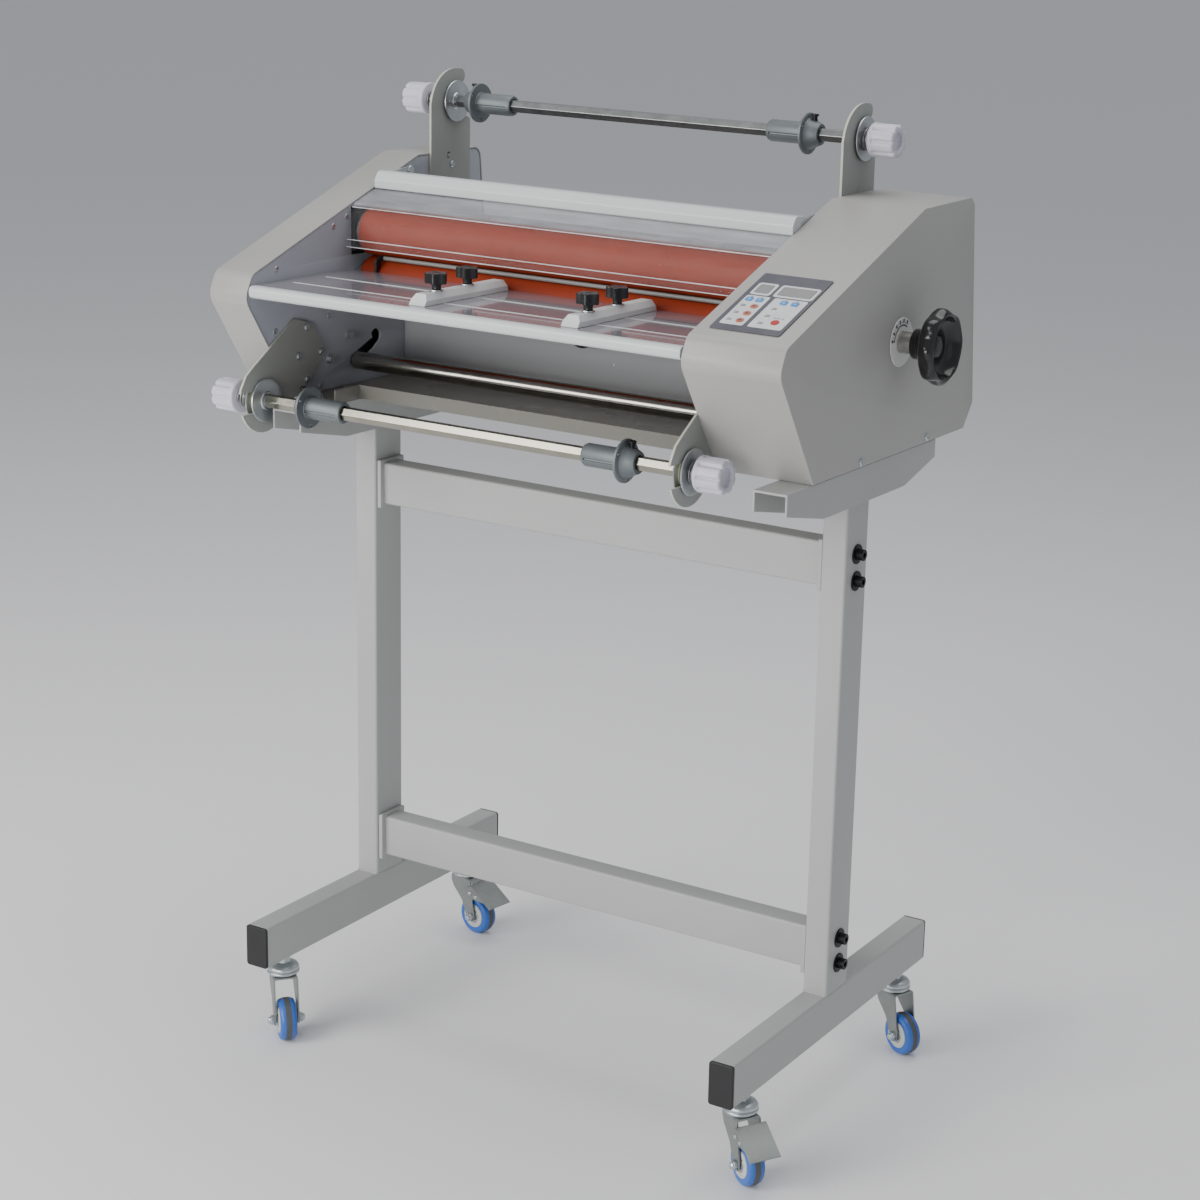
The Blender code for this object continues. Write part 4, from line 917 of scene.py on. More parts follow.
def hexagon_bolt(flats, height):
    """Hexagon-head bolt over its washer, the seat at z = 0."""
    head = pushed("hexagon_bolt", circle((0, 0), flats / 2 / math.cos(math.pi / 6), 6), "Z", 0.0008, height,
                  ZINC)
    collar = lathed("bolt washer", [(0.0, 0.0), (flats * 0.78, 0.0), (flats * 0.78, 0.0010), (0.0, 0.0010)],
                    "Z",
                    (0, 0), 32, ZINC)
    return pattern_of(eased(boolean(head, collar, "UNION"), 0.00025))


countersunk_pattern = countersunk_screw(0.0034)
hexagon_pattern = hexagon_bolt(0.0080, 0.0048)
flush_spots = ((-0.016, 0.955), (-0.040, 0.946), (-0.139, 0.907), (-0.049, 0.843), (-0.143, 0.837),
               (-0.065, 0.763),
               (0.120, 0.860), (0.205, 0.905), (0.205, 0.820))
bolt_spots = ((-0.014, 0.816), (-0.049, 0.792), (0.130, 0.800))
for side, word, face_x in ((-1, "left", PLATE_LEFT), (1, "right", PLATE_RIGHT)):
    inwards = (-side, 0, 0)
    fastened(f"{word}_plate_flush_screws", countersunk_pattern,
             [(Vector((face_x, y, z)), inwards) for y, z in flush_spots], ZINC, "frame", "zinc")
    fastened(f"{word}_plate_hex_bolts", hexagon_pattern,
             [(Vector((face_x, y, z)), inwards) for y, z in bolt_spots], ZINC, "frame", "zinc")


# --- Covers ---------------------------------------------------------------------------
# Folded 1.5 mm shells, warm light grey powder coat: a narrow one outside the left plate and a
# wide one over the drive. Their sheet edges stand a little proud of the plates.
SHEET = 0.0015
COVER_COAT = surfaced("cover powder coat", POWDER_COAT, (0.36, 0.355, 0.34),
                      {"Grain": 560.0, "Gloss Floor": 0.36, "Fleck": 0.09}, (0.32, 0.0003))
FOLD = 0.0011


def cover_shell(name, side_x, rim_x):
    """A folded shell: a side wall with one strip bent round it, open at the foot and towards the plate."""
    towards = math.copysign(1.0, rim_x - side_x)
    lining = inset(cover_side, SHEET)
    for end, beside in ((0, 1), (-1, -2)):
        (y, z), (next_y, next_z) = lining[end], lining[beside]
        lining[end] = (y + (y - next_y) * (z - cover_side[end][1]) / (next_z - z), cover_side[end][1])
    rows = [(side_x, inset(cover_side, FOLD)), (side_x + towards * FOLD * 0.3, inset(cover_side, FOLD * 0.3)),
            (side_x + towards * FOLD, cover_side), (rim_x, cover_side), (rim_x, lining),
            (side_x + towards * SHEET, lining)]
    bm = bmesh.new()
    loops = [[bm.verts.new((x, y, z)) for y, z in outline] for x, outline in rows]
    for ring, following in zip(loops, loops[1:]):
        for index in range(len(ring) - 1):
            bm.faces.new((ring[index], ring[index + 1], following[index + 1], following[index]))
    for ring, following in zip(loops[:2], loops[1:3]):
        bm.faces.new((ring[-1], ring[0], following[0], following[-1]))
    bm.faces.new((loops[2][-1], loops[2][0], loops[5][0], loops[5][-1]))
    for end in (0, -1):
        bm.faces.new([ring[end] for ring in loops[2:]])
    bm.faces.new(loops[0])
    bm.faces.new(loops[5])
    bmesh.ops.recalc_face_normals(bm, faces=bm.faces)
    return as_piece(name, bm, COVER_COAT)


for word, outer_x, rim_x in (("left", COVER_LEFT, PLATE_LEFT + 0.0006),
                             ("right", COVER_RIGHT, PLATE_RIGHT - 0.0006)):
    shell = cover_shell(f"{word}_cover_shell", outer_x, rim_x)
    if word == "right":
        bore = pushed("shaft bore", circle((SHAFT_Y, SHAFT_Z), SHAFT_R + 0.0010, 40), "X", outer_x - 0.01,
                      outer_x + 0.01, COVER_COAT)
        boolean(shell, bore, "DIFFERENCE")
    settle(creased(shell, 35.0), "frame", "cover_grey", f"{word}_cover")

LINER_BLACK = surfaced("liner board", MOULDED_SKIN, (0.016, 0.016, 0.017),
                       {"Grain": 500.0, "Gloss Floor": 0.6}, (0.4, 0.0003))
for side, word, face_x in ((-1, "left", PLATE_LEFT), (1, "right", PLATE_RIGHT)):
    low_x, high_x = sorted((face_x + side * 0.0110, face_x + side * 0.0120))
    liner = sheet_cut(f"{word}_cover_liner", round_rect((0.005, 0.8040), 0.110, 0.084, 0.006), [], "X",
                      low_x, high_x, 0.0002,
                      LINER_BLACK)
    settle(liner, "frame", "black_plastic")

pan_screw = pattern_of(eased(boolean(
    lathed("pan_screw", [(0.0, 0.0), (0.0042, 0.0), (0.0041, 0.0012), (0.0030, 0.0021), (0.0, 0.0024)], "Z",
           (0, 0), 32, ZINC),
    block("slot", (-0.0005, -0.0030, 0.0012), (0.0005, 0.0030, 0.004), ZINC), "DIFFERENCE"), 0.0001))
cover_spots = [(Vector((COVER_RIGHT, y, z)), (1, 0, 0)) for y, z in ((-0.010, 0.760), (0.148, 0.7605))]
cover_spots += [(Vector((COVER_LEFT, y, z)), (-1, 0, 0)) for y,
                z in ((-0.070, 0.764), (0.070, 0.764), (0.200, 0.764))]
fastened("cover_side_screws", pan_screw, cover_spots, ZINC, "frame", "zinc")


# --- Rear panel and its cable ---------------------------------------------------------
# A light sheet behind the rollers, with a folded top edge, one small hole with a grommet,
# and a short black cable that loops out of it under the feed table.
REAR_PANEL_Y = 0.0910
REAR_PANEL_TOP = 0.850
PANEL_COAT = surfaced("rear panel grey", POWDER_COAT, (0.37, 0.385, 0.40),
                      {"Grain": 700.0, "Gloss Floor": 0.34, "Fleck": 0.05}, (0.2, 0.0003))
section = [(REAR_PANEL_Y, PLATE_FOOT), (REAR_PANEL_Y + SHEET, PLATE_FOOT),
           (REAR_PANEL_Y + SHEET, REAR_PANEL_TOP - SHEET),
           (REAR_PANEL_Y + 0.014, REAR_PANEL_TOP - SHEET), (REAR_PANEL_Y + 0.014, REAR_PANEL_TOP),
           (REAR_PANEL_Y, REAR_PANEL_TOP)]
rear = pushed("rear_panel_sheet", section, "X", PLATE_LEFT + 0.0003, PLATE_RIGHT - 0.0003, PANEL_COAT)
boolean(rear, pushed("cable hole", circle((-0.095, 0.838), 0.0062, 32), "Y", 0.08, 0.10, PANEL_COAT),
        "DIFFERENCE")
boolean(rear, pushed("vent", circle((-0.045, 0.803), 0.0016, 20), "Y", 0.08, 0.10, PANEL_COAT), "DIFFERENCE")
settle(eased(rear, 0.0005), "frame", "cover_grey", "rear_panel")
grommet = [(0.0032, 0.0895), (0.0078, 0.0895), (0.0078, 0.0910), (0.0060, 0.0912), (0.0060, 0.0926),
           (0.0076, 0.0928),
           (0.0074, 0.0940), (0.0032, 0.0940)]
settle(creased(lathed("cable_grommet", grommet, "Y", (-0.095, 0.838), 40, CAP_BLACK, closed=True)), "frame",
       "black_plastic")


def swept(name, points, radius, material, steps=12, samples=16):
    """A round rod or cable along a smooth path."""
    curve = bpy.data.curves.new(name, "CURVE")
    curve.dimensions = "3D"
    curve.bevel_depth = radius
    curve.bevel_resolution = steps // 4
    curve.use_fill_caps = True
    curve.resolution_u = samples
    spline = curve.splines.new("BEZIER")
    spline.bezier_points.add(len(points) - 1)
    for knot, point in zip(spline.bezier_points, points):
        knot.co = point
        knot.handle_left_type = knot.handle_right_type = "AUTO"
    drawn = bpy.data.objects.new(name, curve)
    bpy.context.collection.objects.link(drawn)
    mesh = baked_mesh(drawn)
    bpy.data.objects.remove(drawn)
    mesh.materials.clear()
    mesh.materials.append(material)
    mesh.shade_smooth()
    piece = bpy.data.objects.new(name, mesh)
    bpy.context.collection.objects.link(piece)
    return piece


cable = swept("panel_cable", [(-0.095, 0.096, 0.838), (-0.095, 0.084, 0.838), (-0.091, 0.076, 0.829),
                              (-0.080, 0.073, 0.8235),
                              (-0.068, 0.073, 0.8260), (-0.058, 0.076, 0.8350), (-0.054, 0.080, 0.8450),
                              (-0.053, 0.084, 0.8465)],
              0.0022, CAP_BLACK)
settle(cable, "frame", "black_plastic")


# --- Keypad ---------------------------------------------------------------------------
# A dark membrane sheet on the right cover's slope: two grey displays in white rounded frames,
# and two white key fields with blue, orange and red keys and short label marks.
SLOPE = math.atan2(1.0180 - 0.9055, 0.1170 + 0.1800)
PAD_LOW_X, PAD_HIGH_X = 0.2335, 0.3150
PAD_W = PAD_HIGH_X - PAD_LOW_X
PAD_L = 0.1200
pad_along = Vector((0.0, math.cos(SLOPE), math.sin(SLOPE)))
pad_up = Vector((0.0, -math.sin(SLOPE), math.cos(SLOPE)))
pad_foot = Vector((PAD_LOW_X, -0.1800, 0.9055)) + pad_along * 0.0190
pad_turn = Matrix((Vector((1, 0, 0)), pad_along, pad_up)).transposed().to_4x4()
pad_place = Matrix.Translation(HOME + pad_foot) @ pad_turn
PAD_FILM = surfaced("keypad film", MOULDED_SKIN, (0.075, 0.073, 0.092),
                    {"Grain": 1600.0, "Gloss Floor": 0.30}, (0.2, 0.0001))
PAD_WHITE = surfaced("keypad white print", MOULDED_SKIN, (0.62, 0.63, 0.64),
                     {"Grain": 1600.0, "Gloss Floor": 0.34}, (0.15, 0.0001))
PAD_GLASS = surfaced("display window", MOULDED_SKIN, (0.27, 0.27, 0.27),
                     {"Grain": 1600.0, "Gloss Floor": 0.12, "Smudge": 0.08}, (0.05, 0.0001))
KEY_BLUE = surfaced("blue key", MOULDED_SKIN, (0.05, 0.24, 0.58), {"Grain": 1600.0, "Gloss Floor": 0.30},
                    (0.15, 0.0001))
KEY_ORANGE = surfaced("orange key", MOULDED_SKIN, (0.50, 0.13, 0.05), {"Grain": 1600.0, "Gloss Floor": 0.30},
                      (0.15, 0.0001))
KEY_RED = surfaced("red key", MOULDED_SKIN, (0.42, 0.012, 0.02), {"Grain": 1600.0, "Gloss Floor": 0.30},
                   (0.15, 0.0001))


def pad_layer(name, shapes, low, high, material, highlight=0.00015):
    """One printed or raised layer of the keypad, from outlines counted from its lower left corner."""
    bm = bmesh.new()
    for outline in shapes:
        verts = [bm.verts.new((across, up, low)) for across, up in outline]
        moved = bmesh.ops.extrude_face_region(bm, geom=[bm.faces.new(verts)])["geom"]
        bmesh.ops.translate(bm, verts=[item for item in moved if isinstance(item, bmesh.types.BMVert)],
                            vec=(0, 0, high - low))
    piece = as_piece(name, bm, material)
    settle(eased(piece, highlight), "frame", "black_plastic", place=pad_place)
    return piece


pad_sheet = pushed("keypad_sheet", round_rect((PAD_W / 2, PAD_L / 2), PAD_W, PAD_L, 0.0025), "Z", 0.0003,
                   0.0014, PAD_FILM)
settle(eased(pad_sheet, 0.0003), "frame", "black_plastic", "control_panel", place=pad_place)
window_frames = [((0.0175, 0.0865), (0.0235, 0.0250)), ((0.0560, 0.0865), (0.0460, 0.0250))]
pad_layer("keypad_window_frames", [round_rect(centre, *size, 0.0035) for centre, size in window_frames],
          0.0012, 0.00165, PAD_WHITE)
pad_layer("keypad_window_lines", [round_rect(centre, size[0] - 0.0066, size[1] - 0.0068, 0.0020) for centre,
                                  size in window_frames],
          0.0012, 0.00175, PAD_FILM, 0.00005)
pad_layer("keypad_windows", [round_rect(centre, size[0] - 0.0078, size[1] - 0.0080, 0.0014) for centre,
                             size in window_frames],
          0.0012, 0.00190, PAD_GLASS)
fields = [((0.0195, 0.0410), (0.0275, 0.0610)), ((0.0580, 0.0410), (0.0390, 0.0610))]
pad_layer("keypad_fields", [round_rect(centre, *size, 0.0025) for centre, size in fields], 0.0012, 0.00165,
          PAD_WHITE)
blue_spots = [(0.0125, 0.0630), (0.0245, 0.0630), (0.0530, 0.0630), (0.0660, 0.0630)]
pad_layer("keypad_blue_keys", [round_rect(spot, 0.0080, 0.0076, 0.0018) for spot in blue_spots], 0.0014,
          0.00250, KEY_BLUE, 0.0003)
rows = (0.0495, 0.0345, 0.0195)
orange_spots = [(0.0255, row) for row in rows]
pad_layer("keypad_orange_keys", [circle(spot, 0.0042, 32) for spot in orange_spots], 0.0014, 0.00250,
          KEY_ORANGE, 0.0003)
pad_layer("keypad_key_centres", [circle(spot, 0.0019, 20) for spot in orange_spots], 0.0024, 0.00270,
          PAD_FILM, 0.0001)
pad_layer("keypad_red_key", [circle((0.0640, 0.0235), 0.0045, 40)], 0.0014, 0.00260, KEY_RED, 0.0003)
marks = []
for column in (0.0125, 0.0490):
    for row in rows:
        marks += [round_rect((column, row + 0.0018), 0.0052, 0.0013, 0.0003),
                  round_rect((column, row - 0.0008), 0.0064, 0.0013, 0.0003)]
marks += [round_rect((x, 0.0690), 0.0016, 0.0016, 0.0005) for x, _ in blue_spots]
marks += [round_rect((0.0640 + step * 0.0032, 0.0325), 0.0022, 0.0012, 0.0003)
          for step in (-1.5, -0.5, 0.5, 1.5)]
pad_layer("keypad_marks", marks, 0.0014, 0.00178, PAD_FILM, 0.00004)
pad_layer("keypad_arrows", [[(x - 0.0015, y - 0.0008), (x + 0.0015, y - 0.0008), (x, y + 0.0014)]
                            if index % 2 == 0 else
                            [(x - 0.0015, y + 0.0008), (x, y - 0.0014), (x + 0.0015, y + 0.0008)]
                            for index, (x, y) in enumerate(blue_spots)], 0.0022, 0.00262, PAD_WHITE, 0.00005)


# --- Pressure rollers -----------------------------------------------------------------
# Two steel cores with a brick-red silicone sleeve each, ground matt, that meet at the film line.
# Turned journals run in the plates, with a bright ring at each end of the sleeve.
SILICONE = surfaced("red silicone", MOULDED_SKIN, (0.26, 0.034, 0.012),
                    {"Grain": 1100.0, "Gloss Floor": 0.50, "Smudge": 0.10}, (0.2, 0.0002))
SILICONE.node_tree.nodes["Principled BSDF"].inputs["Specular IOR Level"].default_value = 0.18
STEEL = surfaced("turned steel", WORKED_METAL, (0.47, 0.46, 0.43),
                 {"Gloss Floor": 0.16, "Cloud": 0.13, "Stretch": (6.0, 0.6, 0.6)}, (0.15, 0.0001), 1.0)
ROLL_LEFT = PLATE_LEFT + 0.013
ROLL_RIGHT = PLATE_RIGHT - 0.013
GEAR_X = (0.2360, 0.2480)
for word, z in (("upper", NIP_Z + ROLL_R + 0.00015), ("lower", NIP_Z - ROLL_R - 0.00015)):
    body = f"{word}_roller_set"
    centre = (ROLL_Y, z)
    left_end, right_end = PLATE_LEFT - PLATE_T - 0.008, GEAR_X[1] + 0.0010
    core = [(0.0, left_end), (JOURNAL_R - 0.001, left_end), (JOURNAL_R, left_end + 0.001),
            (JOURNAL_R, ROLL_LEFT - 0.006),
            (ROLL_R - 0.0048, ROLL_LEFT - 0.006), (ROLL_R - 0.0040, ROLL_LEFT - 0.0052),
            (ROLL_R - 0.0040, ROLL_LEFT + 0.0004),
            (ROLL_R - 0.0040, ROLL_RIGHT - 0.0004), (ROLL_R - 0.0040, ROLL_RIGHT + 0.0052),
            (ROLL_R - 0.0048, ROLL_RIGHT + 0.006), (JOURNAL_R, ROLL_RIGHT + 0.006),
            (JOURNAL_R, right_end - 0.001),
            (JOURNAL_R - 0.001, right_end), (0.0, right_end)]
    settle(creased(lathed(f"{word}_roller_core", core, "X", centre, 64, STEEL)), body, "steel",
           f"{word}_roller")
    sleeve = [(ROLL_R - 0.0041, ROLL_LEFT), (ROLL_R - 0.0008, ROLL_LEFT), (ROLL_R, ROLL_LEFT + 0.0008)]
    sleeve += [(ROLL_R, ROLL_LEFT + (ROLL_RIGHT - ROLL_LEFT) * step / 12) for step in range(1, 12)]
    sleeve += [(ROLL_R, ROLL_RIGHT - 0.0008), (ROLL_R - 0.0008, ROLL_RIGHT), (ROLL_R - 0.0041, ROLL_RIGHT)]
    settle(creased(lathed(f"{word}_roller_sleeve", sleeve, "X", centre, 96, SILICONE, closed=True)), body,
           "silicone_red")
    for face_x, side, end_word in ((PLATE_LEFT, -1, "left"), (PLATE_RIGHT, 1, "right")):
        face = face_x - side * 0.0005
        ring = [(JOURNAL_R - 0.0001, face), (JOURNAL_R + 0.0030, face),
                (JOURNAL_R + 0.0036, face - side * 0.0006),
                (JOURNAL_R + 0.0036, face - side * 0.0016), (JOURNAL_R - 0.0001, face - side * 0.0016)]
        if word == "lower":
            settle(creased(lathed(f"lower_roller_clip_{end_word}", ring, "X", centre, 48, ZINC,
                                  closed=True)), body, "zinc")


# --- Pull rollers ---------------------------------------------------------------------
# A pair of ribbed grey rubber rollers behind the pressure rollers, that draw the sheet out.
RUBBER = surfaced("grey pull rubber", MOULDED_SKIN, (0.10, 0.10, 0.11),
                  {"Grain": 900.0, "Gloss Floor": 0.55, "Smudge": 0.12}, (0.3, 0.0002))
for word, z in (("upper", NIP_Z + PULL_R + 0.00015), ("lower", NIP_Z - PULL_R - 0.00015)):
    body = f"{word}_pull_set"
    centre = (PULL_Y, z)
    left_end, right_end = PLATE_LEFT - PLATE_T - 0.008, PLATE_RIGHT + PLATE_T + 0.008
    core = [(0.0, left_end), (SHAFT_R - 0.0008, left_end), (SHAFT_R, left_end + 0.0008),
            (SHAFT_R, ROLL_LEFT - 0.006),
            (PULL_R - 0.004, ROLL_LEFT - 0.006), (PULL_R - 0.004, ROLL_RIGHT + 0.006),
            (SHAFT_R, ROLL_RIGHT + 0.006),
            (SHAFT_R, right_end - 0.0008), (SHAFT_R - 0.0008, right_end), (0.0, right_end)]
    settle(creased(lathed(f"{word}_pull_core", core, "X", centre, 48, STEEL)), body, "steel",
           f"{word}_pull_roller")
    skin = [(PULL_R - 0.0041, ROLL_LEFT), (PULL_R - 0.0006, ROLL_LEFT)]
    ribs = 23
    for rib in range(ribs):
        low = ROLL_LEFT + (ROLL_RIGHT - ROLL_LEFT) * rib / ribs
        high = ROLL_LEFT + (ROLL_RIGHT - ROLL_LEFT) * (rib + 1) / ribs
        skin += [(PULL_R, low + 0.0008), (PULL_R, high - 0.0028), (PULL_R - 0.0014, high - 0.0018),
                 (PULL_R - 0.0014, high - 0.0004)]
    skin += [(PULL_R - 0.0041, ROLL_RIGHT)]
    settle(creased(lathed(f"{word}_pull_sleeve", skin, "X", centre, 64, RUBBER, closed=True)), body,
           "rubber_grey")


# --- Idler tube -----------------------------------------------------------------------
# Bright tube that turns the lower film round, with thinner open ends that lie in the plates' slots.
IDLER_TUBE_R = 0.0105
idler_ends = (PLATE_LEFT - 0.0060, PLATE_RIGHT + 0.0060)
idler_steps = (PLATE_LEFT + 0.0030, PLATE_RIGHT - 0.0030)
idler = [(IDLER_R - 0.0020, idler_ends[0]), (IDLER_R - 0.0004, idler_ends[0]),
         (IDLER_R, idler_ends[0] + 0.0004),
         (IDLER_R, idler_steps[0]), (IDLER_TUBE_R - 0.0010, idler_steps[0]),
         (IDLER_TUBE_R, idler_steps[0] + 0.0010),
         (IDLER_TUBE_R, idler_steps[1] - 0.0010), (IDLER_TUBE_R - 0.0010, idler_steps[1]),
         (IDLER_R, idler_steps[1]),
         (IDLER_R, idler_ends[1] - 0.0004), (IDLER_R - 0.0004, idler_ends[1]),
         (IDLER_R - 0.0020, idler_ends[1])]
TUBE_STEEL = surfaced("polished idler steel", WORKED_METAL, (0.38, 0.37, 0.33),
                      {"Gloss Floor": 0.10, "Cloud": 0.10, "Stretch": (0.2, 2.0, 2.0)}, (0.1, 0.0001), 1.0)
settle(creased(lathed("idler_tube_wall", idler, "X", IDLER, 64, TUBE_STEEL, closed=True)), "idler_set",
       "steel", "idler_tube")


# --- Gears and motor ------------------------------------------------------------------
# Steel spur gears on the roller ends, turned by a pinion on a gear motor that stands on three
# posts beyond the right plate, all inside the right cover.
def gear_outline(teeth, pitch_r, phase, centre):
    """Tooth outline with slightly curved flanks."""
    module = 2 * pitch_r / teeth
    step = math.tau / teeth
    outline = []
    for tooth in range(teeth):
        for depth, part in ((-1.15, -0.32), (-0.55, -0.265), (0.25, -0.19), (0.90, -0.10), (0.90, 0.10),
                            (0.25, 0.19),
                            (-0.55, 0.265), (-1.15, 0.32)):
            turned = phase + (tooth + part) * step
            radius = pitch_r + depth * module
            outline.append((centre[0] + radius * math.cos(turned), centre[1] + radius * math.sin(turned)))
    return outline


GEAR_TEETH = 24
PINION_TEETH = 12
GEAR_STEEL = surfaced("cut gear steel", WORKED_METAL, (0.33, 0.33, 0.33),
                      {"Gloss Floor": 0.24, "Cloud": 0.16, "Stretch": (0.5, 3.0, 3.0)}, (0.2, 0.0001), 0.95)
for word, z, phase in (("lower", NIP_Z - ROLL_R, 0.0), ("upper", NIP_Z + ROLL_R, math.tau / GEAR_TEETH / 2)):
    centre = (ROLL_Y, z)
    gear = pushed(f"{word}_gear_teeth", gear_outline(GEAR_TEETH, ROLL_R, phase, centre), "X", *GEAR_X,
                  GEAR_STEEL)
    boolean(gear, pushed("bore", circle(centre, JOURNAL_R + 0.0003, 64), "X", 0.20, 0.30, GEAR_STEEL),
            "DIFFERENCE")
    for hole in range(4):
        turned = math.tau * (hole + 0.5) / 4
        spot = (centre[0] + 0.0172 * math.cos(turned), centre[1] + 0.0172 * math.sin(turned))
        boolean(gear, pushed("relief", circle(spot, 0.0036, 24), "X", 0.20, 0.30, GEAR_STEEL), "DIFFERENCE")
    settle(eased(gear, 0.0003), f"{word}_roller_set", "steel", f"{word}_roller_gear")
pinion_turn = math.radians(-45.0)
reach = ROLL_R * (1 + PINION_TEETH / GEAR_TEETH)
PINION = (ROLL_Y + reach * math.cos(pinion_turn), NIP_Z - ROLL_R + reach * math.sin(pinion_turn))
pinion = pushed("pinion_teeth", gear_outline(PINION_TEETH, ROLL_R * PINION_TEETH / GEAR_TEETH, 0.0, PINION),
                "X", *GEAR_X,
                GEAR_STEEL)
stub = lathed("stub", [(0.0, GEAR_X[0] - 0.0020), (0.0036, GEAR_X[0] - 0.0020), (0.0040, GEAR_X[0] - 0.0016),
                       (0.0040, GEAR_X[1] + 0.0080), (0.0, GEAR_X[1] + 0.0080)], "X", PINION, 32, GEAR_STEEL)
settle(eased(boolean(pinion, stub, "UNION"), 0.0003), "motor_pinion_set", "steel", "motor_pinion")

CAST_IRON = surfaced("cast motor paint", POWDER_COAT, (0.075, 0.082, 0.088),
                     {"Grain": 420.0, "Gloss Floor": 0.42, "Fleck": 0.08}, (0.45, 0.0004))
y, z = PINION
motor_x = GEAR_X[1] + 0.0015
gearcase = pushed("motor_gearcase", rounded([(y - 0.032, z - 0.056, 0.006), (y + 0.034, z - 0.056, 0.006),
                                             (y + 0.034, z + 0.014, 0.006), (y - 0.032, z + 0.014, 0.006)],
                                            6), "X",
                  motor_x, motor_x + 0.0240, CAST_IRON)
boolean(gearcase, pushed("bore", circle(PINION, 0.0044, 32), "X", GEAR_X[1], GEAR_X[1] + 0.0100, CAST_IRON),
        "DIFFERENCE")
settle(eased(gearcase, 0.0010, 3), "frame", "cast_grey", "drive_motor")
can_centre = (y + 0.001, z - 0.021)
can = [(0.0, motor_x + 0.0238), (0.0325, motor_x + 0.0238)]
for ring in range(4):
    start = motor_x + 0.0290 + ring * 0.0072
    can += [(0.0325, start), (0.0300, start + 0.0008), (0.0300, start + 0.0030), (0.0325, start + 0.0038)]
can += [(0.0325, motor_x + 0.0600), (0.0300, motor_x + 0.0655), (0.0150, motor_x + 0.0675),
        (0.0, motor_x + 0.0678)]
settle(creased(lathed("motor_can", can, "X", can_centre, 64, CAST_IRON)), "frame", "cast_grey")
for index, (dy, dz) in enumerate(((-0.026, -0.050), (0.028, -0.050), (0.028, 0.004))):
    spacer = [(0.0, PLATE_RIGHT + PLATE_T + 0.0003), (0.0046, PLATE_RIGHT + PLATE_T + 0.0003),
              (0.0050, PLATE_RIGHT + PLATE_T + 0.0007), (0.0050, GEAR_X[1] + 0.0024),
              (0.0, GEAR_X[1] + 0.0024)]
    settle(creased(lathed(f"motor_spacer_{index}", spacer, "X", (y + dy, z + dz), 32, ZINC)), "frame", "zinc")


# --- Bearing blocks -------------------------------------------------------------------
# Black acetal blocks that slide in the windows of the plates; a foot at the back of each
# rests over a cam of the pressure shaft.
LIFT = 0.0060
CAM_R = 0.0160
BLOCK_BLACK = surfaced("black acetal", MOULDED_SKIN, (0.016, 0.016, 0.018),
                       {"Grain": 700.0, "Gloss Floor": 0.34, "Smudge": 0.16}, (0.15, 0.0002))
for side, word, face_x in ((-1, "left", PLATE_LEFT), (1, "right", PLATE_RIGHT)):
    middle_z = NIP_Z + ROLL_R
    low_x, high_x = sorted((face_x - side * 0.0050, face_x + side * 0.0090))
    slider = pushed(f"{word}_slider", round_rect((ROLL_Y, middle_z), 0.0474, 0.0450, 0.0012), "X", low_x,
                    high_x, BLOCK_BLACK)
    foot_z = SHAFT_Z - LIFT + CAM_R + 0.0003
    foot = [(0.0300, 0.9300), (0.0300, 0.9150), (0.0480, foot_z), (SHAFT_Y + 0.0150, foot_z),
            (SHAFT_Y + 0.0150, foot_z + 0.0060),
            (0.0560, foot_z + 0.0060), (0.0396, 0.9300)]
    low_foot, high_foot = sorted((face_x - side * 0.0050, face_x - side * 0.0003))
    boolean(slider, pushed("foot", foot, "X", low_foot, high_foot, BLOCK_BLACK), "UNION")
    bore = pushed("bore", circle((ROLL_Y, middle_z), JOURNAL_R + 0.0005, 48), "X", low_x - 0.01,
                  high_x + 0.01, BLOCK_BLACK)
    settle(eased(boolean(slider, bore, "DIFFERENCE"), 0.0006), "roller_carriage", "black_plastic",
           f"{word}_bearing_block")


# --- Pressure shaft -------------------------------------------------------------------
# A ground cross shaft with an eccentric disc cam just inside each plate.
HUB_START = 0.3520
centre = (SHAFT_Y, SHAFT_Z)
left_end = PLATE_LEFT - PLATE_T - 0.010
collar = COVER_RIGHT + 0.0016
shaft = [(0.0, left_end), (SHAFT_R - 0.0008, left_end), (SHAFT_R, left_end + 0.0008), (SHAFT_R, collar),
         (0.0116, collar),
         (0.0120, collar + 0.0004), (0.0120, HUB_START - 0.0007), (0.0116, HUB_START - 0.0003),
         (SHAFT_R, HUB_START - 0.0003),
         (SHAFT_R, 0.3672), (SHAFT_R - 0.0008, 0.3680), (0.0, 0.3680)]
settle(creased(lathed("pressure_shaft_bar", shaft, "X", centre, 48, STEEL)), "pressure_shaft_set", "steel",
       "pressure_shaft")
for word, face_x, side in (("left", PLATE_LEFT, -1), ("right", PLATE_RIGHT, 1)):
    low_x, high_x = sorted((face_x - side * 0.0010, face_x - side * 0.0045))
    cam = pushed(f"pressure_cam_{word}_disc", circle((SHAFT_Y, SHAFT_Z - LIFT), CAM_R, 72), "X", low_x,
                 high_x, STEEL)
    boolean(cam, pushed("bore", circle(centre, SHAFT_R - 0.0002, 48), "X", low_x - 0.01, high_x + 0.01,
                        STEEL), "DIFFERENCE")
    settle(eased(cam, 0.0003), "pressure_shaft_set", "steel")


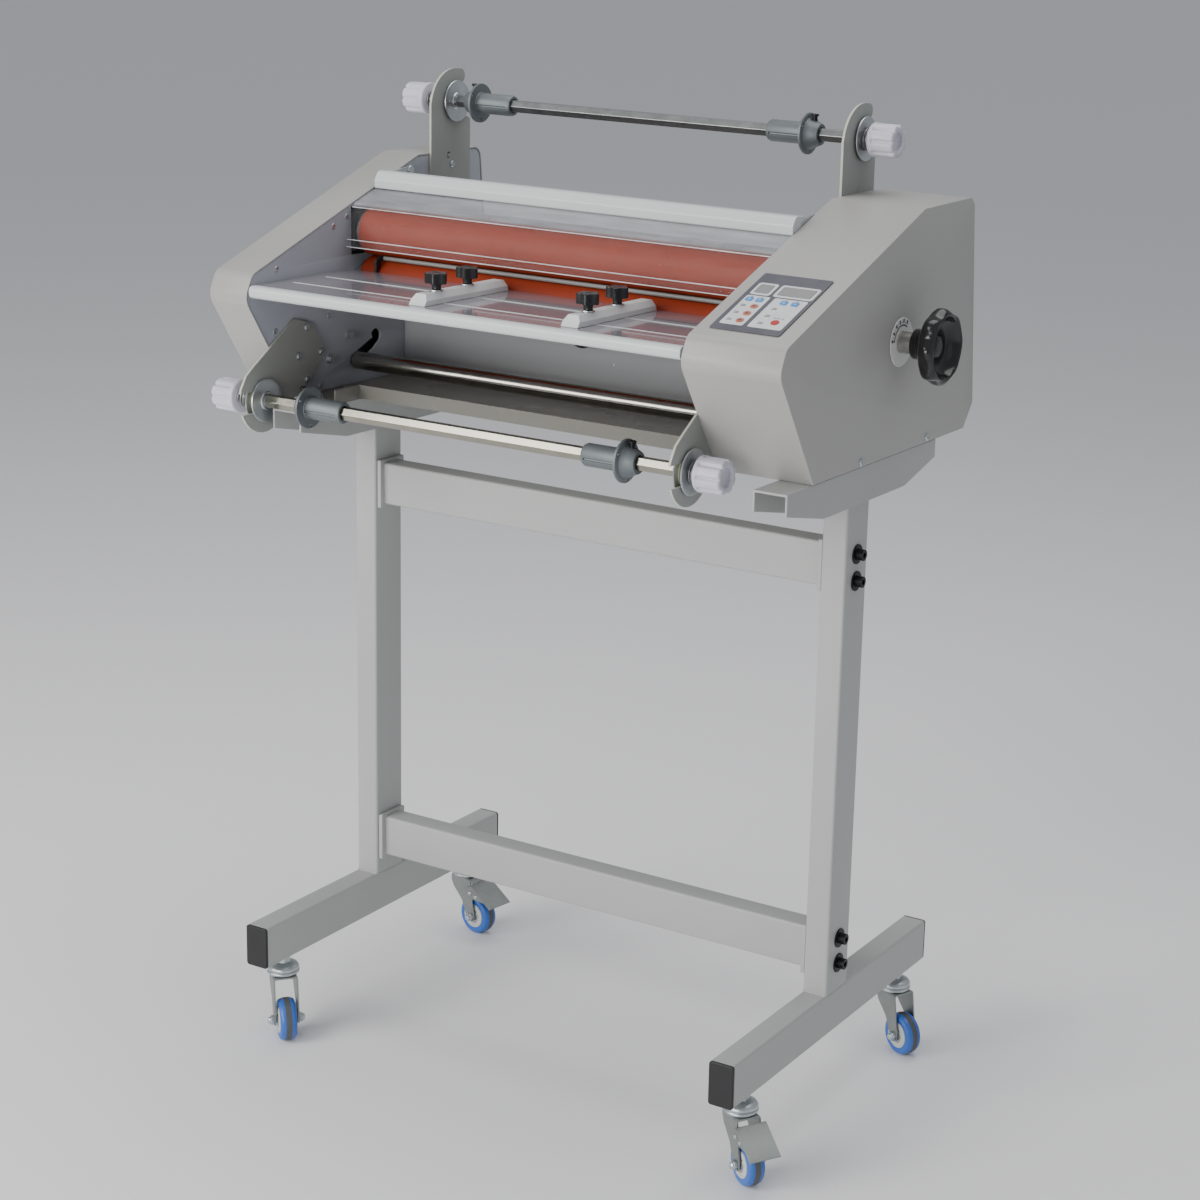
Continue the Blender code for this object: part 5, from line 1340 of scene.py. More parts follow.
# --- Handwheel and dial ---------------------------------------------------------------
# Black moulded wheel: a hub that flares into an eight-lobed rim with a dished face and a cap.
# Behind it a white scale disc carries a black pressure arc, ticks and a pointer mark.
WHEEL_BLACK = surfaced("black handwheel plastic", MOULDED_SKIN, (0.014, 0.014, 0.015),
                       {"Grain": 1200.0, "Gloss Floor": 0.12, "Smudge": 0.14}, (0.06, 0.0002))
DIAL_WHITE = surfaced("dial white", MOULDED_SKIN, (0.66, 0.66, 0.65), {"Grain": 1500.0, "Gloss Floor": 0.35},
                      (0.1, 0.0001))


def lobed(centre, middle_r, wave, lobes, steps, start=0.0):
    """A round outline with soft lobes."""
    outline = []
    for step in range(steps):
        turned = start + math.tau * step / steps
        radius = middle_r + wave * math.cos(lobes * (turned - start))
        outline.append((centre[0] + radius * math.cos(turned), centre[1] + radius * math.sin(turned)))
    return outline


def ringed(name, axis, rings, material, closed=False):
    """A skin over rings of (place along the axis, outline), all with the same number of points."""
    bm = bmesh.new()
    loops = [[bm.verts.new(placed(axis, along, across, up)) for across, up in outline] for along,
             outline in rings]
    pairs = list(zip(loops, loops[1:])) + ([(loops[-1], loops[0])] if closed else [])
    for ring, following in pairs:
        for index in range(len(ring)):
            after = (index + 1) % len(ring)
            bm.faces.new((ring[index], ring[after], following[after], following[index]))
    if not closed:
        bm.faces.new(loops[0])
        bm.faces.new(loops[-1])
    return as_piece(name, bm, material)


WHEEL_STEPS = 144
wheel_rings = []
for along, radius, wave in ((0.36880, SHAFT_R + 0.0003, 0.0), (HUB_START, SHAFT_R + 0.0003, 0.0),
                            (HUB_START, 0.0158, 0.0),
                            (HUB_START + 0.0008, 0.0165, 0.0), (0.36000, 0.0165, 0.0), (0.36000, 0.0178, 0.0),
                            (0.36510, 0.0220, 0.0), (0.36850, 0.0290, 0.0), (0.37147, 0.0350, 0.0003),
                            (0.37360, 0.0382, 0.0009),
                            (0.37615, 0.0395, 0.0017), (0.38040, 0.0398, 0.0021), (0.38465, 0.0397, 0.0021),
                            (0.38805, 0.0388, 0.0017), (0.38992, 0.0374, 0.0009), (0.39060, 0.0356, 0.0002),
                            (0.39009, 0.0342, 0.0), (0.38805, 0.0332, 0.0), (0.38380, 0.0316, 0.0),
                            (0.37955, 0.0280, 0.0),
                            (0.37725, 0.0230, 0.0), (0.37649, 0.0165, 0.0), (0.37768, 0.0132, 0.0),
                            (0.37972, 0.0118, 0.0),
                            (0.38074, 0.0098, 0.0), (0.38108, 0.0060, 0.0)):
    wheel_rings.append((along, lobed(centre, radius, wave, 8, WHEEL_STEPS)))
wheel = creased(ringed("handwheel_moulding", "X", wheel_rings, WHEEL_BLACK), 45.0)
settle(wheel, "pressure_shaft_set", "black_plastic", "handwheel")
dial = [(SHAFT_R + 0.0010, COVER_RIGHT + 0.0003), (0.0268, COVER_RIGHT + 0.0003),
        (0.0270, COVER_RIGHT + 0.0006),
        (0.0266, COVER_RIGHT + 0.0013), (SHAFT_R + 0.0010, COVER_RIGHT + 0.0013)]
settle(creased(lathed("dial_disc", dial, "X", centre, 72, DIAL_WHITE, closed=True)), "frame",
       "white_extrusion", "dial_plate")


def ring_sector(inner, outer, start, end, steps):
    """An outline between two radii and two angles in degrees, about the shaft."""
    return arc(centre, outer, start, end, steps) + arc(centre, inner, end, start, steps)


dial_shapes = [ring_sector(0.0176, 0.0192, 55.0, 175.0, 40)]
dial_shapes += [ring_sector(0.0206, 0.0250, 62.0 + 22.0 * tick - 3.6, 62.0 + 22.0 * tick + 3.6, 3)
                for tick in range(6)]
dial_shapes += [ring_sector(0.0204, 0.0228, 73.0 + 22.0 * tick - 1.0, 73.0 + 22.0 * tick + 1.0, 2)
                for tick in range(5)]
bm = bmesh.new()
for outline in dial_shapes:
    verts = [bm.verts.new((COVER_RIGHT + 0.0012, across, up)) for across, up in outline]
    moved = bmesh.ops.extrude_face_region(bm, geom=[bm.faces.new(verts)])["geom"]
    bmesh.ops.translate(bm, verts=[item for item in moved if isinstance(item, bmesh.types.BMVert)],
                        vec=(0.00022, 0, 0))
settle(creased(as_piece("dial_marks", bm, WHEEL_BLACK)), "frame", "white_extrusion")


# --- Guard bar and clear shield -------------------------------------------------------
# White extruded bar with a rounded top, end caps and two hinged arms; a bent clear sheet is
# gripped in the groove under it and covers the rollers.
# The clear sheet's sloping part is made more opaque as a painted reflection, and three thin white lines across
# it are painted highlights.
EXTRUSION_WHITE = surfaced("white extrusion lacquer", POWDER_COAT, (0.58, 0.62, 0.62),
                           {"Grain": 900.0, "Gloss Floor": 0.28, "Fleck": 0.02}, (0.08, 0.0002))
bar_outline = rounded([(0.0330, 0.9845, 0.0020), (0.0650, 0.9860, 0.0020), (0.0650, 1.0030, 0.0050),
                       (0.0400, 1.0050, 0.0080), (0.0330, 0.9950, 0.0040)], 8)
bar = pushed("guard_extrusion", bar_outline, "X", PLATE_LEFT + 0.0015, PLATE_RIGHT - 0.0015, EXTRUSION_WHITE)
for groove_z in (0.9920, 0.9965):
    groove = pushed("groove", round_rect((0.0654, groove_z), 0.0022, 0.0010, 0.0004), "X", -0.36, 0.24,
                    EXTRUSION_WHITE)
    boolean(bar, groove, "DIFFERENCE")
settle(eased(bar, 0.0004), "guard", "white_extrusion", "guard_bar")
for word, face_x, side in (("left", PLATE_LEFT, -1), ("right", PLATE_RIGHT, 1)):
    low_arm, high_arm = sorted((face_x - side * 0.0010, face_x - side * 0.0035))
    arm = pushed(f"guard_arm_{word}_link", capsule((0.0560, 0.9945), (GUARD_Y, GUARD_Z), 0.0060), "X",
                 low_arm, high_arm, ZINC)
    settle(eased(arm, 0.0004), "guard", "zinc")
    pin = [(0.0, face_x - side * 0.0044), (0.0052, face_x - side * 0.0044), (0.0056, face_x - side * 0.0036),
           (GUARD_PIN_R, face_x - side * 0.0034), (GUARD_PIN_R, face_x + side * 0.0030),
           (0.0, face_x + side * 0.0033)]
    settle(creased(lathed(f"guard_pin_{word}_stud", pin, "X", (GUARD_Y, GUARD_Z), 32, ZINC)), "guard", "zinc")


def clear_material(name, tint, alpha, slope_reflection_alpha):
    """Clear sheet: its upright part is nearly invisible; its sloping part, and any part seen edge-on, is made
    more opaque as a painted reflection of the light.
    """
    material = bpy.data.materials.new(name)
    material.use_nodes = True
    tree = material.node_tree
    shader = tree.nodes["Principled BSDF"]
    place = object_coordinates(tree)
    squeezed = tree.nodes.new("ShaderNodeVectorMath")
    squeezed.operation = "MULTIPLY"
    squeezed.inputs[1].default_value = (0.12, 1.0, 1.0)
    tree.links.new(place, squeezed.inputs[0])
    wipe = noise(tree, squeezed.outputs["Vector"], 160.0, 4.0, 0.6)
    tree.links.new(remap(tree, wipe, 0.35, 0.7, 0.06, 0.22), shader.inputs["Roughness"])
    plain = tree.nodes.new("ShaderNodeRGB")
    plain.outputs["Color"].default_value = (*tint, 1.0)
    tree.links.new(brightened(tree, plain.outputs["Color"], remap(tree, wipe, 0.3, 0.7, 0.75, 1.25)),
                   shader.inputs["Base Color"])
    # Flatter faces, the sloping part of the sheet, get more opacity: a painted reflection of the lamps above.
    split = tree.nodes.new("ShaderNodeSeparateXYZ")
    tree.links.new(tree.nodes.new("ShaderNodeTexCoord").outputs["Normal"], split.inputs["Vector"])
    level = maths(tree, "ABSOLUTE", split.outputs["Z"], 0.0)
    # Parts seen edge-on get extra opacity: a painted reflection at grazing angles.
    slant = tree.nodes.new("ShaderNodeLayerWeight")
    slant.inputs["Blend"].default_value = 0.25
    grazing_reflection = remap(tree, slant.outputs["Facing"], 0.8, 1.0, 0.0, 0.25)
    tree.links.new(maths(tree, "ADD", remap(tree, level, 0.45, 0.85, alpha, slope_reflection_alpha), grazing_reflection),
                   shader.inputs["Alpha"])
    return material


# The shield sheet carries the painted reflection on its sloping part.
SHIELD_CLEAR = clear_material("clear shield sheet", (0.46, 0.46, 0.49), 0.035, 0.36)
# Thin white lines across the shield: painted highlights along its lower edge, its bend and its middle.
SHIELD_HIGHLIGHT = clear_material("shield painted highlight", (0.80, 0.80, 0.82), 0.55, 0.70)


def bent_sheet(name, centre_line, thickness, axis, start, end, material):
    """A sheet of even thickness that follows a bent centre line."""
    left, right = [], []
    count = len(centre_line)
    for index, here in enumerate(centre_line):
        here = Vector(here)
        back = Vector(centre_line[max(index - 1, 0)])
        ahead = Vector(centre_line[min(index + 1, count - 1)])
        heading = (ahead - back).normalized()
        side = Vector((-heading.y, heading.x)) * thickness / 2
        left.append(tuple(here + side))
        right.append(tuple(here - side))
    return pushed(name, left + right[::-1], axis, start, end, material)


def bent_line(corners, steps=6):
    """An open line whose (x, y, radius) corners between its two ends are rounded."""
    line = [corners[0][:2]]
    for before, (x, y, radius), after in zip(corners, corners[1:], corners[2:]):
        here = Vector((x, y))
        back = (Vector(before[:2]) - here).normalized() * radius
        ahead = (Vector(after[:2]) - here).normalized() * radius
        for step in range(steps + 1):
            t = step / steps
            point = here + back * (1 - t) ** 2 + ahead * t ** 2
            line.append((point.x, point.y))
    line.append(corners[-1][:2])
    return line


shield_line = bent_line([(0.0440, 0.98345, 0.0), (0.0331, 0.98345, 0.0030), (-0.0074, 0.9694, 0.0060),
                         (-0.02075, 0.9208, 0.0)])
shield = bent_sheet("shield_sheet", shield_line, 0.0014, "X", PLATE_LEFT + 0.0025, PLATE_RIGHT - 0.0025,
                    SHIELD_CLEAR)
settle(creased(shield, 45.0), "guard", "clear_sheet", "clear_shield")
# Three thin white rods across the sheet are painted highlights, not parts of the sheet.
for name, highlight_y, highlight_z in (("lower", -0.02075, 0.9212), ("bend", -0.0092, 0.9664),
                             ("middle", -0.0186, 0.9295)):
    line = [(0.0, PLATE_LEFT + 0.0030), (0.0006, PLATE_LEFT + 0.0030), (0.0006, PLATE_RIGHT - 0.0030),
            (0.0, PLATE_RIGHT - 0.0030)]
    settle(creased(lathed(f"shield_{name}_edge", line, "X", (highlight_y - 0.0003, highlight_z), 12, SHIELD_HIGHLIGHT)),
           "guard", "clear_sheet")


# --- Feed table -----------------------------------------------------------------------
# Flat lacquered table with a round white nose along its front edge and two white-lined
# T-slots across it; a thin grey rod on a black stalk keeps the sheet flat just before the rollers.
TABLE_TOP = 0.8940
TABLE_FRONT = -0.1890
TABLE_REAR = -0.0120
SLOT_Y = (-0.1340, -0.0780)
TABLE_LACQUER = surfaced("table lacquer", POWDER_COAT, (0.25, 0.235, 0.265),
                         {"Grain": 900.0, "Gloss Floor": 0.05, "Fleck": 0.03}, (0.02, 0.0002),
                         Specular_IOR_Level=0.9, Coat_Weight=0.6)
table_low, table_high = PLATE_LEFT + 0.0030, PLATE_RIGHT - 0.0030
nose_back = -0.1780
sheet = [(TABLE_REAR, TABLE_TOP), (TABLE_REAR, TABLE_TOP - 0.0030), (-0.1700, TABLE_TOP - 0.0060),
         (nose_back, TABLE_TOP - 0.0070),
         (nose_back, TABLE_TOP)]
table = pushed("feed_table_sheet", sheet, "X", table_low, table_high, TABLE_LACQUER)
for slot_y in SLOT_Y:
    boolean(table, block("slot", (table_low + 0.017, slot_y - 0.0015, TABLE_TOP - 0.0016),
                         (table_high - 0.017, slot_y + 0.0015, TABLE_TOP + 0.01), TABLE_LACQUER),
            "DIFFERENCE")
settle(eased(table, 0.0004), "frame", "plate_grey", "feed_table")
nose = pushed("feed_table_nose", rounded([(nose_back, TABLE_TOP, 0.0), (nose_back, TABLE_TOP - 0.0060, 0.0),
                                          (-0.1750, TABLE_TOP - 0.0138, 0.0030),
                                          (TABLE_FRONT, TABLE_TOP - 0.0138, 0.0055),
                                          (TABLE_FRONT, TABLE_TOP, 0.0055)], 8), "X", table_low, table_high,
              EXTRUSION_WHITE)
settle(eased(nose, 0.0005), "frame", "white_extrusion")
for index, slot_y in enumerate(SLOT_Y):
    for edge_side in (-1, 1):
        low, high = sorted((slot_y + edge_side * 0.0015, slot_y + edge_side * 0.0009))
        lining = block(f"slot_lining_{index}_{'front' if edge_side < 0 else 'rear'}",
                       (table_low + 0.017, low, TABLE_TOP - 0.0015),
                       (table_high - 0.017, high, TABLE_TOP + 0.0003), EXTRUSION_WHITE)
        settle(eased(lining, 0.0001), "frame", "white_extrusion")
ROD_Y, ROD_Z, ROD_LEFT = 0.0005, 0.9092, -0.3060
rod_profile = [(0.0, ROD_LEFT), (0.0022, ROD_LEFT), (0.0025, ROD_LEFT + 0.0004),
               (0.0025, table_high - 0.0004),
               (0.0022, table_high), (0.0, table_high)]
ROD_GREY = surfaced("grey rod sleeve", MOULDED_SKIN, (0.21, 0.215, 0.205),
                    {"Grain": 900.0, "Gloss Floor": 0.32, "Smudge": 0.14},
                    (0.1, 0.0002))
settle(creased(lathed("separator_rod", rod_profile, "X", (ROD_Y, ROD_Z), 32, ROD_GREY)), "frame", "steel")
stalk = pushed("separator_stalk", rounded([(-0.0140, TABLE_TOP - 0.0026, 0.0), (-0.0140, 0.9080, 0.003),
                                           (-0.0050, 0.9125, 0.002),
                                           (0.0034, 0.9120, 0.002), (0.0034, 0.9068, 0.002),
                                           (-0.0030, 0.9060, 0.0),
                                           (-0.0115, TABLE_TOP - 0.0026, 0.0)], 5), "X", ROD_LEFT - 0.0030,
               ROD_LEFT + 0.0001, CAP_BLACK)
settle(eased(stalk, 0.0004), "frame", "black_plastic")


# --- Paper guides and their knobs -----------------------------------------------------
# White bevelled bars that slide along the T-slots, each clamped by two black five-lobed
# thumb knobs that stand on zinc washers.
GUIDES = {"left": -0.1280, "right": 0.0690}
GUIDE_W = 0.0210
GUIDE_H = 0.0120
GUIDE_WHITE = surfaced("guide white", MOULDED_SKIN, (0.62, 0.64, 0.64),
                       {"Grain": 900.0, "Gloss Floor": 0.32, "Smudge": 0.14},
                       (0.12, 0.0002))
KNOB_BLACK = surfaced("thumb knob black", MOULDED_SKIN, (0.012, 0.012, 0.013),
                      {"Grain": 1200.0, "Gloss Floor": 0.22, "Smudge": 0.2},
                      (0.15, 0.0002))
for word, centre_x in GUIDES.items():
    low = TABLE_TOP + 0.0003
    half = GUIDE_W / 2
    side_view = [(-0.1690, low), (-0.0160, low), (-0.0200, low + GUIDE_H), (-0.1610, low + GUIDE_H)]
    guide = pushed(f"{word}_guide_bar", side_view, "X", centre_x - half, centre_x + half, GUIDE_WHITE)
    for side in (-1, 1):
        highlight = [(centre_x + side * half * 1.01, low + GUIDE_H * 0.45),
                (centre_x + side * half * 1.01, low + 0.02),
                (centre_x + side * half * 0.45, low + 0.02), (centre_x + side * half * 0.62, low + GUIDE_H)]
        boolean(guide, pushed("bevel", highlight, "Y", -0.19, 0.0, GUIDE_WHITE), "DIFFERENCE")
    for index in range(2):
        pocket = pushed("pocket", capsule((centre_x, SLOT_Y[index] - 0.0030),
                                          (centre_x, SLOT_Y[index] + 0.0030), 0.0021, 8), "Z",
                        low + GUIDE_H - 0.004, low + 0.02, GUIDE_WHITE)
        boolean(guide, pocket, "DIFFERENCE")
    settle(eased(guide, 0.0006, 3, 25.0), f"guide_{word}", "white_extrusion", f"{word}_guide")
    for index, row in enumerate(("front", "rear")):
        body = f"guide_knob_{word}_{row}"
        foot = TABLE_TOP + GUIDE_H + 0.0006
        spot = (centre_x, SLOT_Y[index])
        head = pushed(f"{word}_{row}_thumb_knob", lobed(spot, 0.0112, 0.0016, 5, 80), "Z", foot + 0.0080,
                      foot + 0.0200, KNOB_BLACK)
        hollow = lathed("dimple", [(0.0, foot + 0.0192), (0.0040, foot + 0.0192), (0.0058, foot + 0.0202),
                                   (0.0, foot + 0.0210)], "Z",
                        spot, 40, KNOB_BLACK)
        neck = lathed("neck", [(0.0, foot + 0.0014), (0.0052, foot + 0.0014), (0.0050, foot + 0.0040),
                               (0.0065, foot + 0.0100),
                               (0.0, foot + 0.0100)], "Z", spot, 40, KNOB_BLACK)
        settle(eased(boolean(boolean(head, hollow, "DIFFERENCE"), neck, "UNION"), 0.0010, 3), body,
               "black_plastic",
               f"{word}_guide_knob_{row}")
        disc = [(0.0, foot), (0.0070, foot), (0.0072, foot + 0.0002), (0.0070, foot + 0.0013),
                (0.0, foot + 0.0013)]
        settle(creased(lathed(f"{word}_{row}_knob_washer", disc, "Z", spot, 40, ZINC)), body, "zinc")


# --- Supply brackets ------------------------------------------------------------------
# Four grey-green plate arms, their cut edges lightened by a painted highlight, screwed to the insides of the
# frame plates.
# The upper pair are open to the rear and the lower pair to the front, so a loaded bar drops in.
SUPPLY = {"upper": (0.1870, 1.0790), "lower": (-0.1660, 0.7620)}
BUSH_R = 0.0120
BRACKET_T = 0.0030


def with_painted_edge_highlight(name, group, face_colour, highlight_colour, values, bump):
    """Painted plate whose cut edges, which face across the plate, show a lighter colour: a painted highlight for
    the light those edges catch.
    """
    material = surfaced(name, group, face_colour, values, bump)
    tree = material.node_tree
    shader = tree.nodes["Principled BSDF"]
    geometry = tree.nodes.new("ShaderNodeTexCoord")
    split = tree.nodes.new("ShaderNodeSeparateXYZ")
    tree.links.new(geometry.outputs["Normal"], split.inputs["Vector"])
    sideways = maths(tree, "ABSOLUTE", split.outputs["X"], 0.0)
    # Faces that do not face along X, the cut edges, take the lighter colour: a painted highlight.
    mask = remap(tree, sideways, 0.25, 0.75, 1.0, 0.0)
    mix = tree.nodes.new("ShaderNodeMix")
    mix.data_type = "RGBA"
    painted = next(link.from_socket for link in tree.links if link.to_socket == shader.inputs["Base Color"])
    tree.links.new(mask, mix.inputs[0])
    tree.links.new(painted, mix.inputs[6])
    mix.inputs[7].default_value = (*highlight_colour, 1.0)
    tree.links.new(mix.outputs[2], shader.inputs["Base Color"])
    return material


# The lighter edge colour of the bracket arms is a painted highlight.
BRACKET_COAT = with_painted_edge_highlight("bracket grey green", POWDER_COAT, (0.29, 0.305, 0.285), (0.50, 0.50, 0.42),
                        {"Grain": 700.0, "Gloss Floor": 0.36, "Fleck": 0.05}, (0.2, 0.0003))
seat = BUSH_R + 0.0003
y, z = SUPPLY["upper"]
upper_side = [(0.1390, 0.9790), (0.1390, z)] + arc((0.1865, z - 0.008), 0.0475, 172.0, 82.0, 20)
upper_side += arc((y + 0.0100, z + 0.0300), 0.0090, 70.0, -60.0, 10) + arc((y, z), seat, 60.0, 300.0, 32)
upper_side += [(0.2060, z - 0.0180), (0.2170, z - 0.0220), (0.2170, 0.9790)]
y, z = SUPPLY["lower"]
lower_side = [(-0.1130, 0.8480), (-0.0800, 0.8380), (-0.0590, 0.8050), (-0.0900, 0.7690)]
lower_side += arc((y, z + 0.0020), 0.0390, -20.0, -158.0, 24) + arc((y, z), seat, -90.0, 90.0, 24)
lower_side += [(-0.2050, z + seat), (-0.2040, 0.7790), (-0.1950, 0.7935), (-0.1850, 0.8010)]
for level, outline, spots in (("upper", upper_side, ((0.1800, 1.0030),)),
                              ("lower", lower_side, ((-0.093, 0.836), (-0.107, 0.804), (-0.068, 0.804),
                                                     (-0.093, 0.775)))):
    for side, word, face_x in ((-1, "left", PLATE_LEFT), (1, "right", PLATE_RIGHT)):
        low_x, high_x = sorted((face_x - side * 0.0003, face_x - side * (0.0003 + BRACKET_T)))
        hook = arc((0.1745, 1.0140), 0.0040, 40.0, 300.0, 12) + arc((0.1745, 1.0140), 0.0022, 300.0, 40.0, 12)
        arm = sheet_cut(f"{level}_{word}_arm", outline, [hook] if level == "upper" else [], "X", low_x,
                        high_x, 0.0004, BRACKET_COAT)
        settle(arm, "frame", "bracket_grey", f"{level}_bracket_{word}")
        inner = face_x - side * (0.0003 + BRACKET_T)
        fastened(f"{level}_{word}_arm_screws", pan_screw,
                 [(Vector((inner, *spot)), (-side, 0, 0)) for spot in spots], ZINC,
                 "frame", "zinc")


# --- Supply shafts --------------------------------------------------------------------
# Bright hexagon bars with turned ends. At each end a cream bush sits in the bracket between
# two dished zinc discs, and a coil spring outside presses on the outer disc.
HEX_FLATS = 0.0140
DISC_R = 0.0250
KNOB_L = 0.0320
KNOB_GAP = {"upper": (0.0333, 0.0120), "lower": (0.0283, 0.0120)}
CHUCK_X = {"upper": (-0.3050, 0.1470), "lower": (-0.2775, 0.1390)}
COLLAR = {"upper": (0.0180, 0.0180), "lower": (0.0130, 0.0180)}
BUSH_CREAM = surfaced("cream bush nylon", MOULDED_SKIN, (0.46, 0.45, 0.34),
                      {"Grain": 800.0, "Gloss Floor": 0.38, "Smudge": 0.2},
                      (0.15, 0.0002))
BAR_CHROME = surfaced("drawn chrome bar", WORKED_METAL, (0.36, 0.35, 0.29),
                      {"Gloss Floor": 0.10, "Cloud": 0.10, "Stretch": (0.12, 3.0, 3.0)}, (0.12, 0.0001), 1.0)
BAR_STEEL = surfaced("drawn grey bar", WORKED_METAL, (0.30, 0.31, 0.31),
                     {"Gloss Floor": 0.20, "Cloud": 0.14, "Stretch": (0.12, 3.0, 3.0)}, (0.15, 0.0001), 0.95)
SPRING_WIRE = surfaced("spring wire", WORKED_METAL, (0.30, 0.30, 0.30), {"Gloss Floor": 0.22, "Cloud": 0.14},
                       (0.1, 0.0001), 0.95)


def spring_tree():
    """Geometry Nodes: a closed-end coil spring along +Z, with its wire, radius and length as inputs."""
    tree = bpy.data.node_groups.new("coil spring", "GeometryNodeTree")
    for label, value in (("Radius", 0.01), ("End Radius", 0.01), ("Length", 0.02), ("Turns", 5.0),
                         ("Wire", 0.001)):
        tree.interface.new_socket(label, in_out="INPUT", socket_type="NodeSocketFloat").default_value = value
    tree.interface.new_socket("Finish", in_out="INPUT", socket_type="NodeSocketMaterial")
    tree.interface.new_socket("Spring", in_out="OUTPUT", socket_type="NodeSocketGeometry")
    given = tree.nodes.new("NodeGroupInput")
    coil = tree.nodes.new("GeometryNodeCurveSpiral")
    coil.inputs["Resolution"].default_value = 32
    tree.links.new(given.outputs["Turns"], coil.inputs["Rotations"])
    tree.links.new(given.outputs["Radius"], coil.inputs["Start Radius"])
    tree.links.new(given.outputs["End Radius"], coil.inputs["End Radius"])
    tree.links.new(given.outputs["Length"], coil.inputs["Height"])
    wire = tree.nodes.new("GeometryNodeCurvePrimitiveCircle")
    wire.inputs["Resolution"].default_value = 12
    tree.links.new(given.outputs["Wire"], wire.inputs["Radius"])
    drawn = tree.nodes.new("GeometryNodeCurveToMesh")
    drawn.inputs["Fill Caps"].default_value = True
    tree.links.new(coil.outputs["Curve"], drawn.inputs["Curve"])
    tree.links.new(wire.outputs["Curve"], drawn.inputs["Profile Curve"])
    real = tree.nodes.new("GeometryNodeRealizeInstances")
    tree.links.new(drawn.outputs["Mesh"], real.inputs["Geometry"])
    smooth = tree.nodes.new("GeometryNodeSetShadeSmooth")
    tree.links.new(real.outputs["Geometry"], smooth.inputs["Geometry"])
    painted = tree.nodes.new("GeometryNodeSetMaterial")
    tree.links.new(smooth.outputs["Geometry"], painted.inputs["Geometry"])
    tree.links.new(given.outputs["Finish"], painted.inputs["Material"])
    result = tree.nodes.new("NodeGroupOutput")
    tree.links.new(painted.outputs["Geometry"], result.inputs["Spring"])
    return tree


COIL = spring_tree()


def along_x(x, centre, side):
    """The place of a shape drawn along +Z, laid along X and facing the given way."""
    return Matrix.Translation(HOME + Vector((x, *centre))) @ Matrix.Rotation(side * math.pi / 2, 4, "Y")


for level, centre in SUPPLY.items():
    body = f"{level}_supply"
    face = {-1: PLATE_LEFT, 1: PLATE_RIGHT}
    bar_low = PLATE_LEFT + 0.0003 + BRACKET_T + 0.0060
    bar_high = PLATE_RIGHT - 0.0003 - BRACKET_T - 0.0060
    finish = BAR_STEEL if level == "upper" else BAR_CHROME
    hexagon = circle(centre, HEX_FLATS / 2 / math.cos(math.pi / 6), 6)
    bar = pushed(f"{level}_hex_bar", hexagon, "X", bar_low, bar_high, finish)
    settle(eased(bar, 0.0006, 3), body, "steel", f"{level}_supply_shaft")
    for index, (side, word) in enumerate(((-1, "left"), (1, "right"))):
        inner, outer = face[side] - side * (0.0003 + BRACKET_T), face[side] - side * 0.0003
        disc_in, disc_out = inner - side * 0.0006, outer + side * 0.0006
        tip = outer + side * (KNOB_GAP[level][index] + 0.0200)
        spindle = [(0.0, disc_in - side * 0.0062), (0.0075, disc_in - side * 0.0062),
                   (0.0075, disc_in - side * 0.0040),
                   (0.0060, disc_in - side * 0.0036), (0.0060, tip - side * 0.0010), (0.0050, tip),
                   (0.0, tip)]
        settle(creased(lathed(f"{level}_spindle_{word}", spindle, "X", centre, 40, STEEL)), body, "steel")
        bush = [(0.0062, disc_in - side * 0.0012), (0.0165, disc_in - side * 0.0012),
                (0.0170, disc_in - side * 0.0006),
                (0.0168, disc_in - side * 0.0001), (BUSH_R, disc_in - side * 0.0001),
                (BUSH_R, disc_out + side * 0.0001),
                (0.0175, disc_out + side * 0.0001), (0.0178, disc_out + side * 0.0008),
                (0.0172, disc_out + side * 0.0016),
                (0.0062, disc_out + side * 0.0016)]
        settle(creased(lathed(f"{level}_bush_{word}", bush, "X", centre, 56, BUSH_CREAM, closed=True)), body,
               "zinc")
        for start, way, end_word in ((disc_in - side * 0.0012, -side, "inner"),
                                     (disc_out + side * 0.0016, side, "outer")):
            dished = [(0.0063, start), (0.0180, start), (0.0215, start + way * 0.0006),
                      (0.0244, start + way * 0.0003),
                      (DISC_R, start + way * 0.0010), (0.0246, start + way * 0.0018),
                      (0.0215, start + way * 0.0020),
                      (0.0175, start + way * 0.0014), (0.0105, start + way * 0.0014),
                      (0.0095, start + way * 0.0026),
                      (0.0063, start + way * 0.0026)]
            settle(creased(lathed(f"{level}_{end_word}_disc_{word}", dished, "X", centre, 64, ZINC,
                                  closed=True), 50.0), body, "zinc")
        spring_start = disc_out + side * 0.0042
        spring_end = outer + side * (KNOB_GAP[level][index] - 0.0012)
        space = abs(spring_end - spring_start)
        coil_mesh = bpy.data.meshes.new("coil")
        coil = bpy.data.objects.new(f"{level}_spring_{word}", coil_mesh)
        bpy.context.collection.objects.link(coil)
        step = coil.modifiers.new("coil", "NODES")
        step.node_group = COIL
        set_input(step, "Radius", 0.0125)
        set_input(step, "End Radius", 0.0105)
        set_input(step, "Length", space)
        set_input(step, "Turns", max(2.5, space / 0.0042))
        set_input(step, "Wire", 0.0009)
        set_input(step, "Finish", SPRING_WIRE)
        coil_mesh.materials.append(SPRING_WIRE)
        settle(coil, body, "zinc", place=along_x(spring_start, centre, side))


